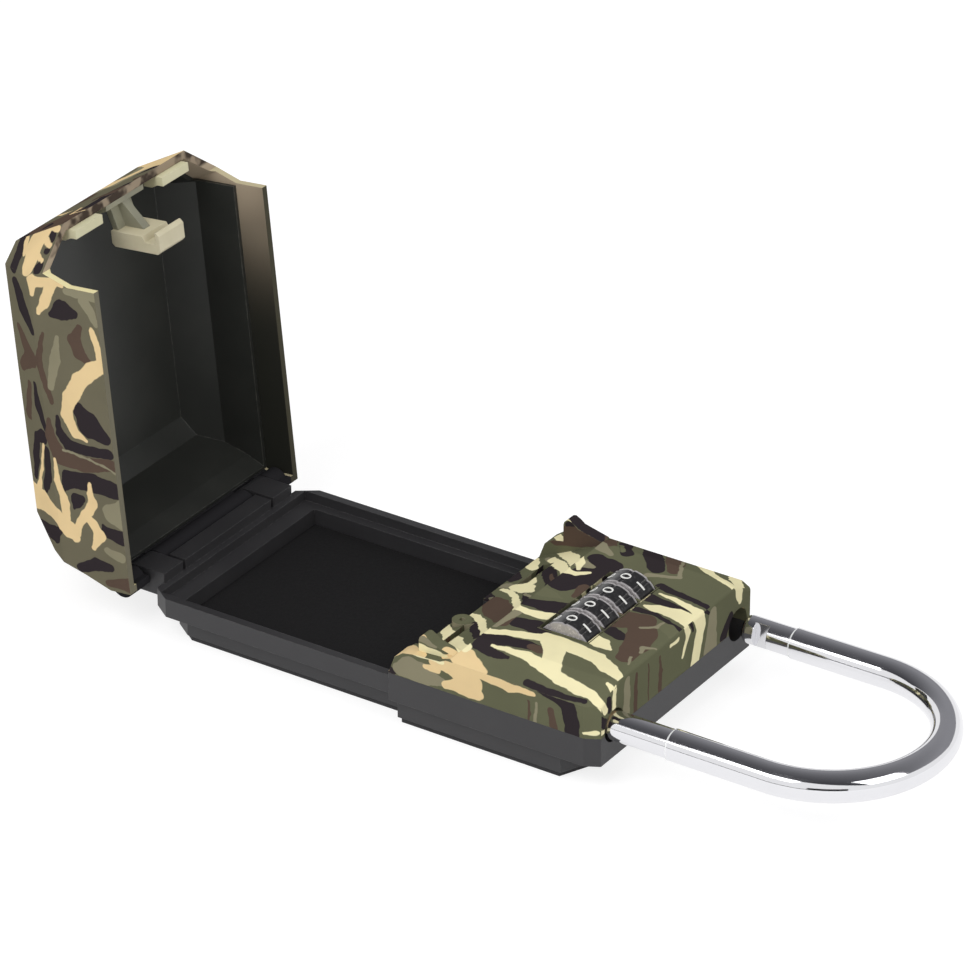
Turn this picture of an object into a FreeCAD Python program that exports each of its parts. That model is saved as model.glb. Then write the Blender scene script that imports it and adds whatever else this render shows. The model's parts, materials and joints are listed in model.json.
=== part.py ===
import FreeCAD, Part
import math
import os
import re
import Sketcher

# Portable key lock box, modelled open.
# X runs from the hinge to the shackle, Y to the far side, Z up from the back face.
# The base is centred on X, and the lid is drawn closed and then swung open about its hinge.

doc = FreeCAD.newDocument("KeyLockBox")
sizes = doc.addObject("Spreadsheet::Sheet", "Sizes")

driving_sizes = {
    # Base and lock housing
    "base_length": 130.0,
    "lock_length": 58.0,
    "tray_step": 2.6,
    "end_taper": 2.0,
    "corner_length": 3.6,
    "pad_thickness": 1.5,
    "pad_inset": 0.7,
    "step_height": 6.5,
    "step_inset": 2.6,
    "lock_step_inset": 1.5,
    "end_step_inset": 4.5,
    "front_step_inset": 6.4,
    "step_corner_length": 4.4,
    "step_corner_width": 9.6,
    "tray_corner": 5.0,
    "tray_corner_width": 3.5,
    "flange_height": 5.0,
    "band_height": 7.5,
    "shell_wall": 2.2,
    "shell_floor": 2.5,
    "end_wall": 5.0,
    "ledge_depth": 2.6,
    "liner_thickness": 0.8,
    "liner_gap": 0.3,
    # Camouflaged lock cover
    "top_rise": 3.7,
    "top_inset": 8.2,
    "end_top_taper": 1.5,
    "cover_wall": 2.0,
    "cavity_start": 11.2,
    "apron_lip": 0.5,
    "apron_drop": 3.2,
    "apron_length": 17.3,
    "groove_length": 2.7,
    "ear_thickness": 3.3,
    "ear_rise": 1.2,
    "near_ear_drop": 1.7,
    "ear_start": 7.2,
    "ear_round": 1.6,
    "ear_slope": 1.3,
    "ear_back": 11.0,
    "ear_back_drop": 0.4,
    "nose_drop": 5.0,
    "nose_round": 4.6,
    "nose_length": 6.4,
    "edge_round": 0.8,
    # Lid
    "hinge_reach": 8.0,
    "hinge_height": 11.0,
    "pin_diameter": 3.0,
    "pin_clearance": 0.04,
    "pin_inset": 0.4,
    "knuckle_diameter": 6.4,
    "knuckle_width": 5.2,
    "lug_width": 7.8,
    "lug_inset": 12.3,
    "hinge_gap": 0.4,
    "lid_open_angle": 95.6,
    "lid_depth": 31.9,
    "lid_front_inset": 6.2,
    "lid_wall": 1.8,
    "lid_end_reach": 10.5,
    "lid_end_slope": 0.453,
    "lid_side_reach": 2.2,
    "lid_side_height": 21.5,
    "facet_run": 0.81,
    "lid_back_overhang": 0.35,
    "lid_back_straight": 6.0,
    "lid_back_middle": 13.0,
    "lid_back_middle_run": 2.4,
    "lid_back_high": 26.0,
    "lid_back_high_run": 6.7,
    "lid_back_front_run": 12.7,
    "lid_bevel_height": 26.2,
    "lid_rim_height": 22.5,
    "stop_gap": 0.06,
    "stop_thickness": 1.2,
    "lid_gap": 0.4,
    "lid_liner": 1.0,
    "lid_lip": 1.0,
    "lid_round": 2.0,
    # Latch post and its bracket on the lid
    "post_width": 10.0,
    "post_thickness": 5.6,
    "post_setback": 3.4,
    "post_top_height": 24.0,
    "post_neck": 2.6,
    "post_body": 4.1,
    "post_notch": 3.2,
    "post_chamfer": 0.8,
    "hook_thickness": 1.2,
    "bracket_width": 15.0,
    "bracket_arm": 8.0,
    "bracket_web": 2.4,
    "bracket_thickness": 1.6,
    "wall_seat": 3.6,
    "foot_thickness": 1.6,
    "tab_tip_height": 20.2,
    "tab_length": 10.6,
    "tab_thickness": 2.3,
    "tab_height": 3.5,
    "tab_inset": 17.8,
    "pocket_drop": 2.3,
    # Dials
    "dial_diameter": 14.4,
    "dial_width": 7.0,
    "dial_pitch": 7.9,
    "dial_setback": 21.8,
    "dial_rise": 2.9,
    "dial_notch": 0.5,
    "axle_diameter": 3.0,
    "sleeve_diameter": 6.8,
    "running_gap": 0.1,
    "axle_fit": 0.04,
    "slot_gap": 0.2,
    "bezel_rim": 0.4,
    "bezel_thickness": 1.2,
    "bezel_proud": 0.2,
    "gate_width": 1.6,
    "gate_depth": 0.7,
    # Lock frame, latch plate and shackle bolt
    "frame_length": 13.0,
    "frame_gap": 0.25,
    "frame_thickness": 1.0,
    "cheek_length": 10.0,
    "cheek_thickness": 2.0,
    "axle_end": 0.4,
    "cheek_gap": 1.2,
    "plate_thickness": 2.0,
    "plate_width": 14.0,
    "tongue_width": 7.8,
    "tongue_length": 7.0,
    "plate_length": 40.0,
    "rest_start": 9.0,
    "rest_length": 18.0,
    "rest_inset": 0.5,
    "latch_travel": 3.0,
    "bolt_width": 2.6,
    "bolt_height": 3.0,
    "bolt_length": 7.4,
    "bolt_gap": 0.4,
    "leg_notch_depth": 2.1,
    "slide_gap": 0.1,
    "spring_thickness": 0.35,
    "strip_setback": 4.2,
    "strip_width": 2.1,
    "finger_width": 4.0,
    "finger_reach": 2.0,
    # Shackle
    "leg_inset": 7.6,
    "leg_height": 15.1,
    "leg_diameter": 7.8,
    "stem_diameter": 7.2,
    "bow_centre": 40.8,
    "stem_length": 16.0,
    "long_leg_insert": 24.0,
    "short_leg_gap": 2.4,
    "shackle_travel": 18.0,
    "leg_notch_start": 3.6,
    "leg_notch_length": 3.8,
    "shackle_hole": 8.4,
    "guide_wall": 0.95,
    "guide_gap": 0.4,
    "guide_bore": 8.1,
    "guide_neck_bore": 7.5,
    "guide_seat_width": 5.0,
    "tip_room": 3.0,
    "clip_thickness": 1.2,
    "clip_neck": 5.2,
    "tip_round": 1.6,
    # Fasteners and small parts
    "case_screw": 2.4,
    "case_screw_head": 4.4,
    "screw_bite": 3.0,
    "screw_gap": 0.2,
    "head_height": 1.4,
    "head_sink": 0.2,
    "post_diameter": 6.0,
    "front_post_setback": 6.5,
    "front_post_inset": 6.7,
    "rear_post_setback": 10.8,
    "rear_post_gap": 1.2,
    "frame_screw": 1.8,
    "frame_screw_head": 3.2,
    "frame_head_height": 1.1,
    "frame_screw_length": 5.0,
    "frame_boss": 4.2,
    "frame_boss_reach": 1.75,
    "frame_boss_gap": 0.7,
    "reset_diameter": 5.0,
    "reset_stem": 2.4,
    "reset_rise": 0.9,
    "reset_dimple": 1.4,
    "reset_travel": 1.5,
    "reset_setback": 3.9,
    "reset_offset": 9.6,
}

for row, (name, value) in enumerate(driving_sizes.items(), 1):
    sizes.set("A%d" % row, name)
    sizes.set("B%d" % row, str(value))
    sizes.setAlias("B%d" % row, name)
doc.recompute()

# Lengths that several pieces share, worked out from the driving sizes.
# A later entry may use an earlier one. A cut runs past its solid by the overcut, and a post starts
# inside what carries it by the join.
SHARED = {
    "overcut": "1",
    "join": "0.5",
    "back_end": "(-base_length/2)",
    "front_end": "(base_length/2)",
    "lock_front": "(base_length/2 - lock_length)",
    "dial_field": "(3*dial_pitch + dial_width)",
    "frame_half": "(dial_field/2 + cheek_gap + cheek_thickness)",
    "boss_y": "(frame_half + frame_boss_reach)",
    "guide_half": "(guide_bore/2 + guide_wall)",
    "leg_y": "(boss_y + frame_screw_head/2 + frame_boss_gap + guide_half)",
    "bolt_tip": "(leg_y - stem_diameter/2 - bolt_gap)",
    "lock_half": "(leg_y + leg_inset)",
    "lock_width": "(2*lock_half)",
    "tray_half": "(lock_half - tray_step)",
    "end_half": "(lock_half - end_taper)",
    "top_half": "(lock_half - top_inset)",
    "end_top_half": "(lock_half - top_inset - end_top_taper)",
    "flange_top": "(step_height + flange_height)",
    "band_top": "(step_height + band_height)",
    "floor_top": "(pad_thickness + shell_floor)",
    "crease_height": "(leg_height + guide_half + guide_gap + cover_wall)",
    "block_height": "(crease_height + top_rise)",
    "apron_start": "(band_top + apron_lip)",
    "apron_end": "(block_height - apron_drop)",
    "ear_height": "(block_height + ear_rise)",
    "nose_height": "(block_height - nose_drop)",
    "hinge_x": "(back_end - hinge_reach)",
    "lug_y": "(lock_half - lug_inset)",
    "pin_length": "(2*(lug_y + lug_width/2 + hinge_gap + knuckle_width - pin_inset))",
    "dial_x": "(front_end - dial_setback)",
    "dial_z": "(block_height + dial_rise - dial_diameter/2)",
    "lid_inner": "(lock_half - lid_wall)",
    "lid_front": "(step_height + lid_depth)",
    "lid_front_half": "(lock_half - lid_front_inset)",
    "seat_low": "(lid_rim_height + slide_gap)",
    "seat_high": "(lid_rim_height + slide_gap + wall_seat)",
    "tab_y": "(lock_half - tab_inset)",
    "apron_x": "(lock_front + apron_length)",
    "block_x": "(lock_front + apron_length + groove_length)",
    "lid_end": "(lock_front + lid_end_reach)",
    "post_x": "(lock_front - post_setback)",
    "frame_top": "(block_height + dial_rise - dial_diameter - slot_gap - spring_thickness)",
    "plate_low": "(frame_top - frame_thickness - frame_gap - plate_thickness)",
    "hook_top": "(plate_low - slot_gap)",
    "post_tip_height": "(hook_top - hook_thickness)",
    "guide_end": "(front_end - end_wall - slide_gap)",
    "long_guide_length": "(long_leg_insert + shackle_travel - end_wall)",
    "short_guide_length": "(shackle_travel - short_leg_gap - end_wall + tip_room)",
    "cover_cavity_half": "(lock_half - cover_wall - slide_gap)",
}


def bound(text):
    """An expression on the sheet: shared lengths are opened up, and every size gets its sheet name."""
    for name in reversed(list(SHARED)):
        text = re.sub(r"\b%s\b" % name, SHARED[name], text)
    return re.sub(r"\b([a-z]+(?:_[a-z]+)+)\b", r"Sizes.\1", text)


def apron_at(x):
    """Height of the sloped apron in front of the dials at a given X."""
    return "(apron_start + (%s - lock_front)*(apron_end - apron_start)/apron_length)" % x


# Closeness, in millimetres, for telling edges apart and for a sketch's starting distances.
CLOSE = 0.01


def quarter_round(x, z, across, up):
    """The points of a quarter ellipse that rises from x, z and levels off."""
    return [("%s + (%s)*(1 - cos(%d))" % (x, across, angle), "%s + (%s)*sin(%d)" % (z, up, angle))
            for angle in (30, 60, 90)]


def lid_end_at(z):
    """X of the outer face of the lid's sloping end wall at a given height."""
    return "(lid_end - (%s - lid_rim_height)*lid_end_slope)" % z


def new_body(name):
    body = doc.addObject("PartDesign::Body", name)
    body.Label = name
    return body


def origin_plane(body, role):
    return [item for item in body.Origin.OriginFeatures if item.Role == role][0]


def new_sketch(body, plane, level):
    """A sketch on one of the body's own origin planes, moved to a level given in the part's frame."""
    sketch = body.newObject("Sketcher::SketchObject", body.Name + "_sketch")
    sketch.AttachmentSupport = [(origin_plane(body, plane), "")]
    sketch.MapMode = "FlatFace"
    side = "-1*" if plane == "XZ_Plane" else ""
    sketch.setExpression("AttachmentOffset.Base.z", side + bound("(%s)" % level))
    return sketch


def place_point(sketch, edge, corner, x, y, start):
    """Hold one point of the sketch at two distances from the origin."""
    index = sketch.addConstraint(Sketcher.Constraint("DistanceX", -1, 1, edge, corner, start.x + CLOSE))
    sketch.setExpression("Constraints[%d]" % index, bound(x))
    index = sketch.addConstraint(Sketcher.Constraint("DistanceY", -1, 1, edge, corner, start.y + CLOSE))
    sketch.setExpression("Constraints[%d]" % index, bound(y))


def outline(body, plane, level, points):
    """A closed straight-sided outline through the given pairs of expressions."""
    sketch = new_sketch(body, plane, level)
    count = len(points)
    turn = 2 * math.pi / count
    ring = sizes.get("hinge_reach")
    start = [FreeCAD.Vector(ring * math.cos(i * turn), ring * math.sin(i * turn), 0) for i in range(count)]
    for i in range(count):
        sketch.addGeometry(Part.LineSegment(start[i], start[(i + 1) % count]), False)
    for i in range(count):
        sketch.addConstraint(Sketcher.Constraint("Coincident", i, 2, (i + 1) % count, 1))
    for i, (x, y) in enumerate(points):
        place_point(sketch, i, 1, x, y, start[i])
    return sketch


def circles(body, plane, level, rounds):
    """Circles given as (x, y, diameter)."""
    sketch = new_sketch(body, plane, level)
    for i, (x, y, diameter) in enumerate(rounds):
        start = FreeCAD.Vector(i, 1, 0)
        sketch.addGeometry(Part.Circle(start, FreeCAD.Vector(0, 0, 1), 1), False)
        place_point(sketch, i, 3, x, y, start)
        index = sketch.addConstraint(Sketcher.Constraint("Diameter", i, 2))
        sketch.setExpression("Constraints[%d]" % index, bound(diameter))
    return sketch


def oblong(x_low, x_high, y_low, y_high):
    return [(x_low, y_low), (x_high, y_low), (x_high, y_high), (x_low, y_high)]


def pad(body, sketch, length, symmetric=False):
    feature = body.newObject("PartDesign::Pad", body.Name + "_pad")
    feature.Profile = sketch
    feature.setExpression("Length", bound(length))
    if symmetric:
        feature.SideType = "Symmetric"
    body.Tip = feature
    doc.recompute()
    return feature


def pocket(body, sketch, length, symmetric=False):
    """Remove the sketch's area, downwards from its plane or to both sides of it."""
    before = body.Shape.Volume
    feature = body.newObject("PartDesign::Pocket", body.Name + "_pocket")
    feature.Profile = sketch
    feature.setExpression("Length", bound(length))
    if symmetric:
        feature.SideType = "Symmetric"
    body.Tip = feature
    doc.recompute()
    if not feature.Shape.Volume < before - CLOSE / 10:
        raise ValueError("a pocket of %s cuts nothing" % body.Label)
    return feature


def loft(body, sections, removes=False):
    kind = "PartDesign::SubtractiveLoft" if removes else "PartDesign::AdditiveLoft"
    feature = body.newObject(kind, body.Name + "_loft")
    feature.Profile = sections[0]
    feature.Sections = sections[1:]
    feature.Ruled = True
    body.Tip = feature
    doc.recompute()
    return feature


def round_edges(body, chosen, radius):
    """Fillet the edges of the body's last feature that a rule on their two ends picks."""
    base = body.Tip
    names = []
    for number, edge in enumerate(base.Shape.Edges, 1):
        ends = [vertex.Point for vertex in edge.Vertexes]
        if chosen(ends[0], ends[-1]):
            names.append("Edge%d" % number)
    feature = body.newObject("PartDesign::Fillet", body.Name + "_fillet")
    feature.Base = (base, names)
    feature.setExpression("Radius", bound(radius))
    body.Tip = feature
    doc.recompute()
    return feature


def prism(name, plane, level, points, length, symmetric=True):
    """A body made of one straight extrusion."""
    body = new_body(name)
    pad(body, outline(body, plane, level, points), length, symmetric)
    return body


def rod(name, plane, level, x, y, diameter, length):
    """A round bar, centred on the level."""
    body = new_body(name)
    pad(body, circles(body, plane, level, [(x, y, diameter)]), length, True)
    return body


def tube(name, plane, level, x, y, outer, inner, length):
    body = new_body(name)
    pad(body, circles(body, plane, level, [(x, y, outer), (x, y, inner)]), length, True)
    return body


def swing_open(body):
    """Turn a lid piece from the closed place, where it is drawn, to the open one."""
    turn = (
        "create(<<placement>>; create(<<vector>>; 0; 0; 0);"
        " create(<<rotation>>; create(<<vector>>; 0; 1; 0); -lid_open_angle);"
        " create(<<vector>>; hinge_x; 0; hinge_height))"
    )
    body.setExpression("Placement", bound(turn))


def case_plan(tray_inset, lock_inset, back_inset, front_inset, cut_length, cut_width):
    """Plan of the base: the tray is narrower than the lock housing, and all corners are cut."""
    tray = "(tray_half - (%s))" % tray_inset
    lock = "(lock_half - (%s))" % lock_inset
    back = "(back_end + (%s))" % back_inset
    front = "(front_end - (%s))" % front_inset
    start = "(lock_front + (%s))" % lock_inset
    near = [
        (back, "-(%s - tray_corner_width)" % tray),
        ("%s + tray_corner" % back, "-" + tray),
        (start, "-" + tray),
        (start, "-" + lock),
        ("%s - (%s)" % (front, cut_length), "-" + lock),
        (front, "-(%s - (%s))" % (lock, cut_width)),
    ]
    far = [(x, y[1:]) for x, y in reversed(near)]
    return near + far


def lock_plan(half, end, start):
    return [
        (start, "-(%s)" % half),
        ("front_end - corner_length", "-(%s)" % half),
        ("front_end", "-(%s)" % end),
        ("front_end", end),
        ("front_end - corner_length", half),
        (start, half),
    ]


# Back pad

pad_plan = case_plan("step_inset + pad_inset", "lock_step_inset + pad_inset", "end_step_inset + pad_inset",
                     "front_step_inset + pad_inset", "step_corner_length", "step_corner_width")
back_pad = prism("back_pad", "XY_Plane", "0", pad_plan, "pad_thickness", False)

# Back shell: lower step, flange and the band round the lock

back_shell = new_body("back_shell")
step_plan = case_plan("step_inset", "lock_step_inset", "end_step_inset", "front_step_inset",
                      "step_corner_length", "step_corner_width")
pad(back_shell, outline(back_shell, "XY_Plane", "pad_thickness", step_plan), "step_height - pad_thickness")
flange_plan = case_plan("0", "0", "0", "0", "corner_length", "lock_half - end_half")
pad(back_shell, outline(back_shell, "XY_Plane", "step_height", flange_plan), "flange_height")
band_plan = lock_plan("lock_half", "end_half", "lock_front")
pad(back_shell, outline(back_shell, "XY_Plane", "flange_top", band_plan), "band_top - flange_top")
deep_half = "(tray_half - step_inset - shell_wall)"
wide_half = "(tray_half - shell_wall)"
wide_tray = oblong("back_end + shell_wall", "lock_front", "-" + wide_half, wide_half)
wide_sketch = outline(back_shell, "XY_Plane", "band_top", wide_tray)
pocket(back_shell, wide_sketch, "band_top - flange_top + ledge_depth")
deep_tray = oblong("back_end + end_step_inset + shell_wall", "lock_front", "-" + deep_half, deep_half)
pocket(back_shell, outline(back_shell, "XY_Plane", "band_top", deep_tray), "band_top - floor_top")
lock_room = "(lock_half - lock_step_inset - shell_wall)"
room_end = "(front_end - front_step_inset - shell_wall)"
lock_pocket = [
    ("lock_front + shell_wall", "-" + lock_room),
    (room_end + " - step_corner_length", "-" + lock_room),
    (room_end, "-(%s - step_corner_width)" % lock_room),
    (room_end, "(%s - step_corner_width)" % lock_room),
    (room_end + " - step_corner_length", lock_room),
    ("lock_front + shell_wall", lock_room),
]
pocket(back_shell, outline(back_shell, "XY_Plane", "band_top", lock_pocket), "band_top - floor_top")
hook_room = oblong("lock_front - overcut", "lock_front + shell_wall + overcut",
                   "-(post_width/2 + lid_gap)", "post_width/2 + lid_gap")
hook_sketch = outline(back_shell, "XY_Plane", "band_top", hook_room)
pocket(back_shell, hook_sketch, "band_top - post_tip_height + lid_gap")
upper_room = oblong("lock_front + shell_wall", "front_end - end_wall",
                    "-cover_cavity_half", "cover_cavity_half")
upper_sketch = outline(back_shell, "XY_Plane", "band_top", upper_room)
pocket(back_shell, upper_sketch, "band_top - (leg_height - guide_half) + overcut")

# Shackle holes through the end wall, and the seats under the two guide tubes

for side in ("-", ""):
    hole = circles(back_shell, "YZ_Plane", "front_end", [(side + "leg_y", "leg_height", "shackle_hole")])
    pocket(back_shell, hole, "2*end_wall + 2*overcut", True)
seat_top = "(leg_height - guide_half)"
for side, length in (("-", "long_guide_length"), ("", "short_guide_length")):
    plan = oblong("guide_end - %s + overcut" % length, "guide_end",
                  side + "(leg_y - guide_seat_width/2)", side + "(leg_y + guide_seat_width/2)")
    sketch = outline(back_shell, "XY_Plane", "floor_top - join", plan)
    pad(back_shell, sketch, seat_top + " - floor_top + join")

# Posts for the case screws, bosses for the lock frame and rests for the sliding parts

posts = []
rear_post_y = "(bolt_tip - bolt_length - rear_post_gap - post_diameter/2)"
for along, across in (("lock_front + front_post_setback", "(lock_half - front_post_inset)"),
                      ("front_end - rear_post_setback", rear_post_y)):
    posts += [(along, "-" + across), (along, across)]
post_sketch = circles(back_shell, "XY_Plane", "floor_top - join",
                      [(x, y, "post_diameter") for x, y in posts])
pad(back_shell, post_sketch, "band_top - floor_top + join")
bosses = [("dial_x", "-boss_y"), ("dial_x", "boss_y")]
boss_sketch = circles(back_shell, "XY_Plane", "floor_top - join", [(x, y, "frame_boss") for x, y in bosses])
pad(back_shell, boss_sketch, "frame_top - frame_thickness - floor_top + join")
rest = oblong("lock_front + rest_start", "lock_front + rest_start + rest_length",
              "-plate_width/2 + rest_inset", "plate_width/2 - rest_inset")
rest_sketch = outline(back_shell, "XY_Plane", "floor_top - join", rest)
pad(back_shell, rest_sketch, "plate_low - floor_top + join")
bolt_x = "(front_end + short_leg_gap + leg_notch_start + leg_notch_length/2 - shackle_travel)"
bolt_low = "(leg_height - bolt_height/2)"
bolt_rest = oblong(bolt_x + " - bolt_width/2", bolt_x + " + bolt_width/2",
                   "leg_y - stem_diameter/2 - bolt_length", "leg_y - guide_half - overcut")
bolt_sketch = outline(back_shell, "XY_Plane", "floor_top - join", bolt_rest)
pad(back_shell, bolt_sketch, bolt_low + " - floor_top + join")
screw_holes = circles(back_shell, "XY_Plane", "band_top + overcut",
                      [(x, y, "case_screw + 2*screw_gap") for x, y in posts])
pocket(back_shell, screw_holes, "band_top + 2*overcut")
head_holes = circles(back_shell, "XY_Plane", "pad_thickness + head_sink + head_height + slide_gap",
                     [(x, y, "case_screw_head + 2*screw_gap") for x, y in posts])
pocket(back_shell, head_holes, "head_sink + head_height + slide_gap + overcut")
frame_holes = circles(back_shell, "XY_Plane", "frame_top",
                      [(x, y, "frame_screw + running_gap") for x, y in bosses])
pocket(back_shell, frame_holes, "frame_thickness + frame_screw_length")

# Hinge lugs and the stop rib at the hinge end

for side in ("-", ""):
    level = side + "lug_y"
    arm = oblong("hinge_x", "back_end + join", "hinge_height - knuckle_diameter/2",
                 "hinge_height + knuckle_diameter/2")
    pad(back_shell, outline(back_shell, "XZ_Plane", level, arm), "lug_width", True)
    eye = circles(back_shell, "XZ_Plane", level, [("hinge_x", "hinge_height", "knuckle_diameter")])
    pad(back_shell, eye, "lug_width", True)
rim_drop = "(hinge_height - step_height)"
stop_low = "(hinge_height + lid_wall - lid_back_overhang - %s*cos(lid_open_angle) + stop_gap)" % rim_drop
rib_x = "(hinge_x + %s + 2*lid_gap)" % rim_drop
rib = [
    ("back_end + join", "step_height"),
    (rib_x, "step_height"),
    (rib_x, stop_low),
    ("hinge_x + %s - 2*lid_gap" % rim_drop, stop_low),
    ("hinge_x + %s - 2*lid_gap" % rim_drop, stop_low + " + stop_thickness"),
    ("back_end + join", stop_low + " + stop_thickness"),
]
pad(back_shell, outline(back_shell, "XZ_Plane", "0", rib), "2*(lug_y - lug_width/2 - overcut)", True)
pin_circle = [("hinge_x", "hinge_height", "pin_diameter + 2*pin_clearance")]
pocket(back_shell, circles(back_shell, "XZ_Plane", "0", pin_circle), "2*lock_width", True)

# Floor liner in the key tray

liner_half = "(%s - liner_gap)" % deep_half
liner_plan = oblong("back_end + end_step_inset + shell_wall + liner_gap", "lock_front - liner_gap",
                    "-" + liner_half, liner_half)
floor_liner = prism("floor_liner", "XY_Plane", "floor_top", liner_plan, "liner_thickness", False)

# Lock cover: a faceted block, its sloped apron, two guide ears and the windows

lock_cover = new_body("lock_cover")
cover_sections = [
    outline(lock_cover, "XY_Plane", "band_top", lock_plan("lock_half", "end_half", "lock_front")),
    outline(lock_cover, "XY_Plane", "crease_height", lock_plan("lock_half", "end_half", "lock_front")),
    outline(lock_cover, "XY_Plane", "block_height", lock_plan("top_half", "end_top_half", "lock_front")),
]
loft(lock_cover, cover_sections)
above_apron = [
    ("lock_front - overcut", apron_at("(lock_front - overcut)")),
    ("apron_x", "apron_end"),
    ("block_x", "block_height"),
    ("block_x", "block_height + overcut"),
    ("lock_front - overcut", "block_height + overcut"),
]
pocket(lock_cover, outline(lock_cover, "XZ_Plane", "0", above_apron), "2*lock_width", True)


def sharp_block_edge(first, last):
    middle = (first + last) * 0.5
    top = lock_cover.Shape.BoundBox.ZMax
    on_end = abs(first.x - last.x) < CLOSE and middle.x > sizes.get("base_length") / 2 - CLOSE
    above_crease = middle.z > top - sizes.get("top_rise") - CLOSE
    return above_crease and (on_end or middle.z > top - CLOSE)


round_edges(lock_cover, sharp_block_edge, "edge_round")

# Rounded noses that lean back like the rim of the lid's side walls, and the ears above them

side_lean = "((lid_side_reach + lid_gap)/(lid_side_height - band_top - lid_gap))"
nose_x = "(lock_front + (nose_height - nose_round - band_top)*%s)" % side_lean
nose = [
    ("lock_front", "band_top"),
    (nose_x, "nose_height - nose_round"),
    *quarter_round(nose_x, "nose_height - nose_round", "nose_length", "nose_round"),
    ("block_x", "nose_height + edge_round"),
    ("block_x", "band_top"),
]
ear_x = "(lock_front + ear_start)"


def ear_profile(top):
    """The outline of a guide ear with its rounded top at a given height."""
    return [
        (ear_x, "band_top"),
        (ear_x, top + " - ear_round"),
        *quarter_round(ear_x, top + " - ear_round", "ear_round", "ear_round"),
        (ear_x + " + ear_round + ear_slope", top + " - ear_slope/2"),
        (ear_x + " + ear_round + 2*ear_slope", top + " - ear_round"),
        (ear_x + " + ear_back", top + " - ear_rise - ear_back_drop - ear_round"),
        (ear_x + " + ear_back", "band_top"),
    ]


ear_y = "(lid_inner - lid_gap - ear_thickness/2)"
nose_y = "((lock_half + lid_inner - lid_gap - ear_thickness)/2)"
nose_width = "2*(lock_half - %s)" % nose_y
for side, top in (("-", "ear_height - near_ear_drop"), ("", "ear_height")):
    pad(lock_cover, outline(lock_cover, "XZ_Plane", side + nose_y, nose), nose_width, True)
    pad(lock_cover, outline(lock_cover, "XZ_Plane", side + ear_y, ear_profile(top)), "ear_thickness", True)

# Cavity under the apron and the block

room_x = "(lock_front + cavity_start)"
low_room = [
    (room_x, "band_top - overcut"),
    ("front_end - end_wall", "band_top - overcut"),
    ("front_end - end_wall", "crease_height - cover_wall"),
    ("apron_x - cover_wall", "crease_height - cover_wall"),
    (room_x, apron_at(room_x) + " - cover_wall"),
]
pocket(lock_cover, outline(lock_cover, "XZ_Plane", "0", low_room), "2*cover_cavity_half", True)
high_room = oblong("block_x + cover_wall/2", "front_end - end_wall",
                   "band_top - overcut", "block_height - cover_wall")
pocket(lock_cover, outline(lock_cover, "XZ_Plane", "0", high_room), "2*top_half - cover_wall/2", True)

# Dial window, hook recess, pockets for the lid's tabs, reset hole and shackle holes

def dial_slot(depth):
    """The length of a slot that clears the dials down to a depth below the block's top."""
    return "(2*sqrt((dial_diameter/2)^2 - (dial_diameter/2 - dial_rise - %s)^2) + 2*slot_gap)" % depth


window_length = dial_slot("cover_wall")
bezel_width = "(dial_field + 2*slot_gap + 2*bezel_rim)"
window = oblong("dial_x - %s/2" % window_length, "dial_x + %s/2" % window_length,
                "-%s/2 - slide_gap" % bezel_width, "%s/2 + slide_gap" % bezel_width)
window_sketch = outline(lock_cover, "XY_Plane", "block_height + overcut", window)
pocket(lock_cover, window_sketch, "cover_wall + 3*overcut")
hook_gap = oblong("lock_front - overcut", "post_x + post_thickness + 2*lid_gap",
                  "-(post_width/2 + lid_gap)", "post_width/2 + lid_gap")
hook_gap_sketch = outline(lock_cover, "XY_Plane", "block_height", hook_gap)
pocket(lock_cover, hook_gap_sketch, "block_height - band_top + overcut")
tab_x = "(lid_end - lid_wall*sqrt(1 + lid_end_slope^2) - slide_gap - tab_thickness/2)"
for side in ("-", ""):
    plan = oblong(tab_x + " - tab_thickness/2 - lid_gap", tab_x + " + tab_thickness/2 + lid_gap",
                  side + "tab_y - tab_length/2 - lid_gap", side + "tab_y + tab_length/2 + lid_gap")
    sketch = outline(lock_cover, "XY_Plane", "block_height", plan)
    pocket(lock_cover, sketch, "block_height - %s + pocket_drop" % apron_at(tab_x))
    hole = circles(lock_cover, "YZ_Plane", "front_end", [(side + "leg_y", "leg_height", "shackle_hole")])
    pocket(lock_cover, hole, "2*end_wall + 2*overcut", True)
reset_x = "(lock_front + reset_setback)"
reset_hole = circles(lock_cover, "XY_Plane", "block_height",
                     [(reset_x, "-reset_offset", "reset_diameter + 2*slot_gap")])
pocket(lock_cover, reset_hole, "block_height - band_top + overcut")

# Screw posts under the block, and the four threaded holes

rear_posts = circles(lock_cover, "XY_Plane", "band_top", [(x, y, "post_diameter") for x, y in posts[2:]])
pad(lock_cover, rear_posts, "block_height - cover_wall - band_top + join")
thread_holes = circles(lock_cover, "XY_Plane", "band_top + screw_bite",
                       [(x, y, "case_screw + running_gap") for x, y in posts])
pocket(lock_cover, thread_holes, "screw_bite + overcut")

# Dial bezel, with one slot for each dial

dial_levels = ["%g*dial_pitch" % (place - 1.5) for place in range(4)]
dial_bezel = new_body("dial_bezel")
bezel_plan = oblong("dial_x - %s/2 + slide_gap" % window_length, "dial_x + %s/2 - slide_gap" % window_length,
                    "-%s/2" % bezel_width, "%s/2" % bezel_width)
bezel_sketch = outline(dial_bezel, "XY_Plane", "block_height - bezel_thickness", bezel_plan)
pad(dial_bezel, bezel_sketch, "bezel_thickness + bezel_proud")
slot_length = dial_slot("bezel_thickness")
for level in dial_levels:
    slot = oblong("dial_x - %s/2" % slot_length, "dial_x + %s/2" % slot_length,
                  "%s - dial_width/2 - slot_gap" % level, "%s + dial_width/2 + slot_gap" % level)
    slot_sketch = outline(dial_bezel, "XY_Plane", "block_height + overcut", slot)
    pocket(dial_bezel, slot_sketch, "bezel_thickness + 2*overcut")

# Dials and code sleeves

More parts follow.
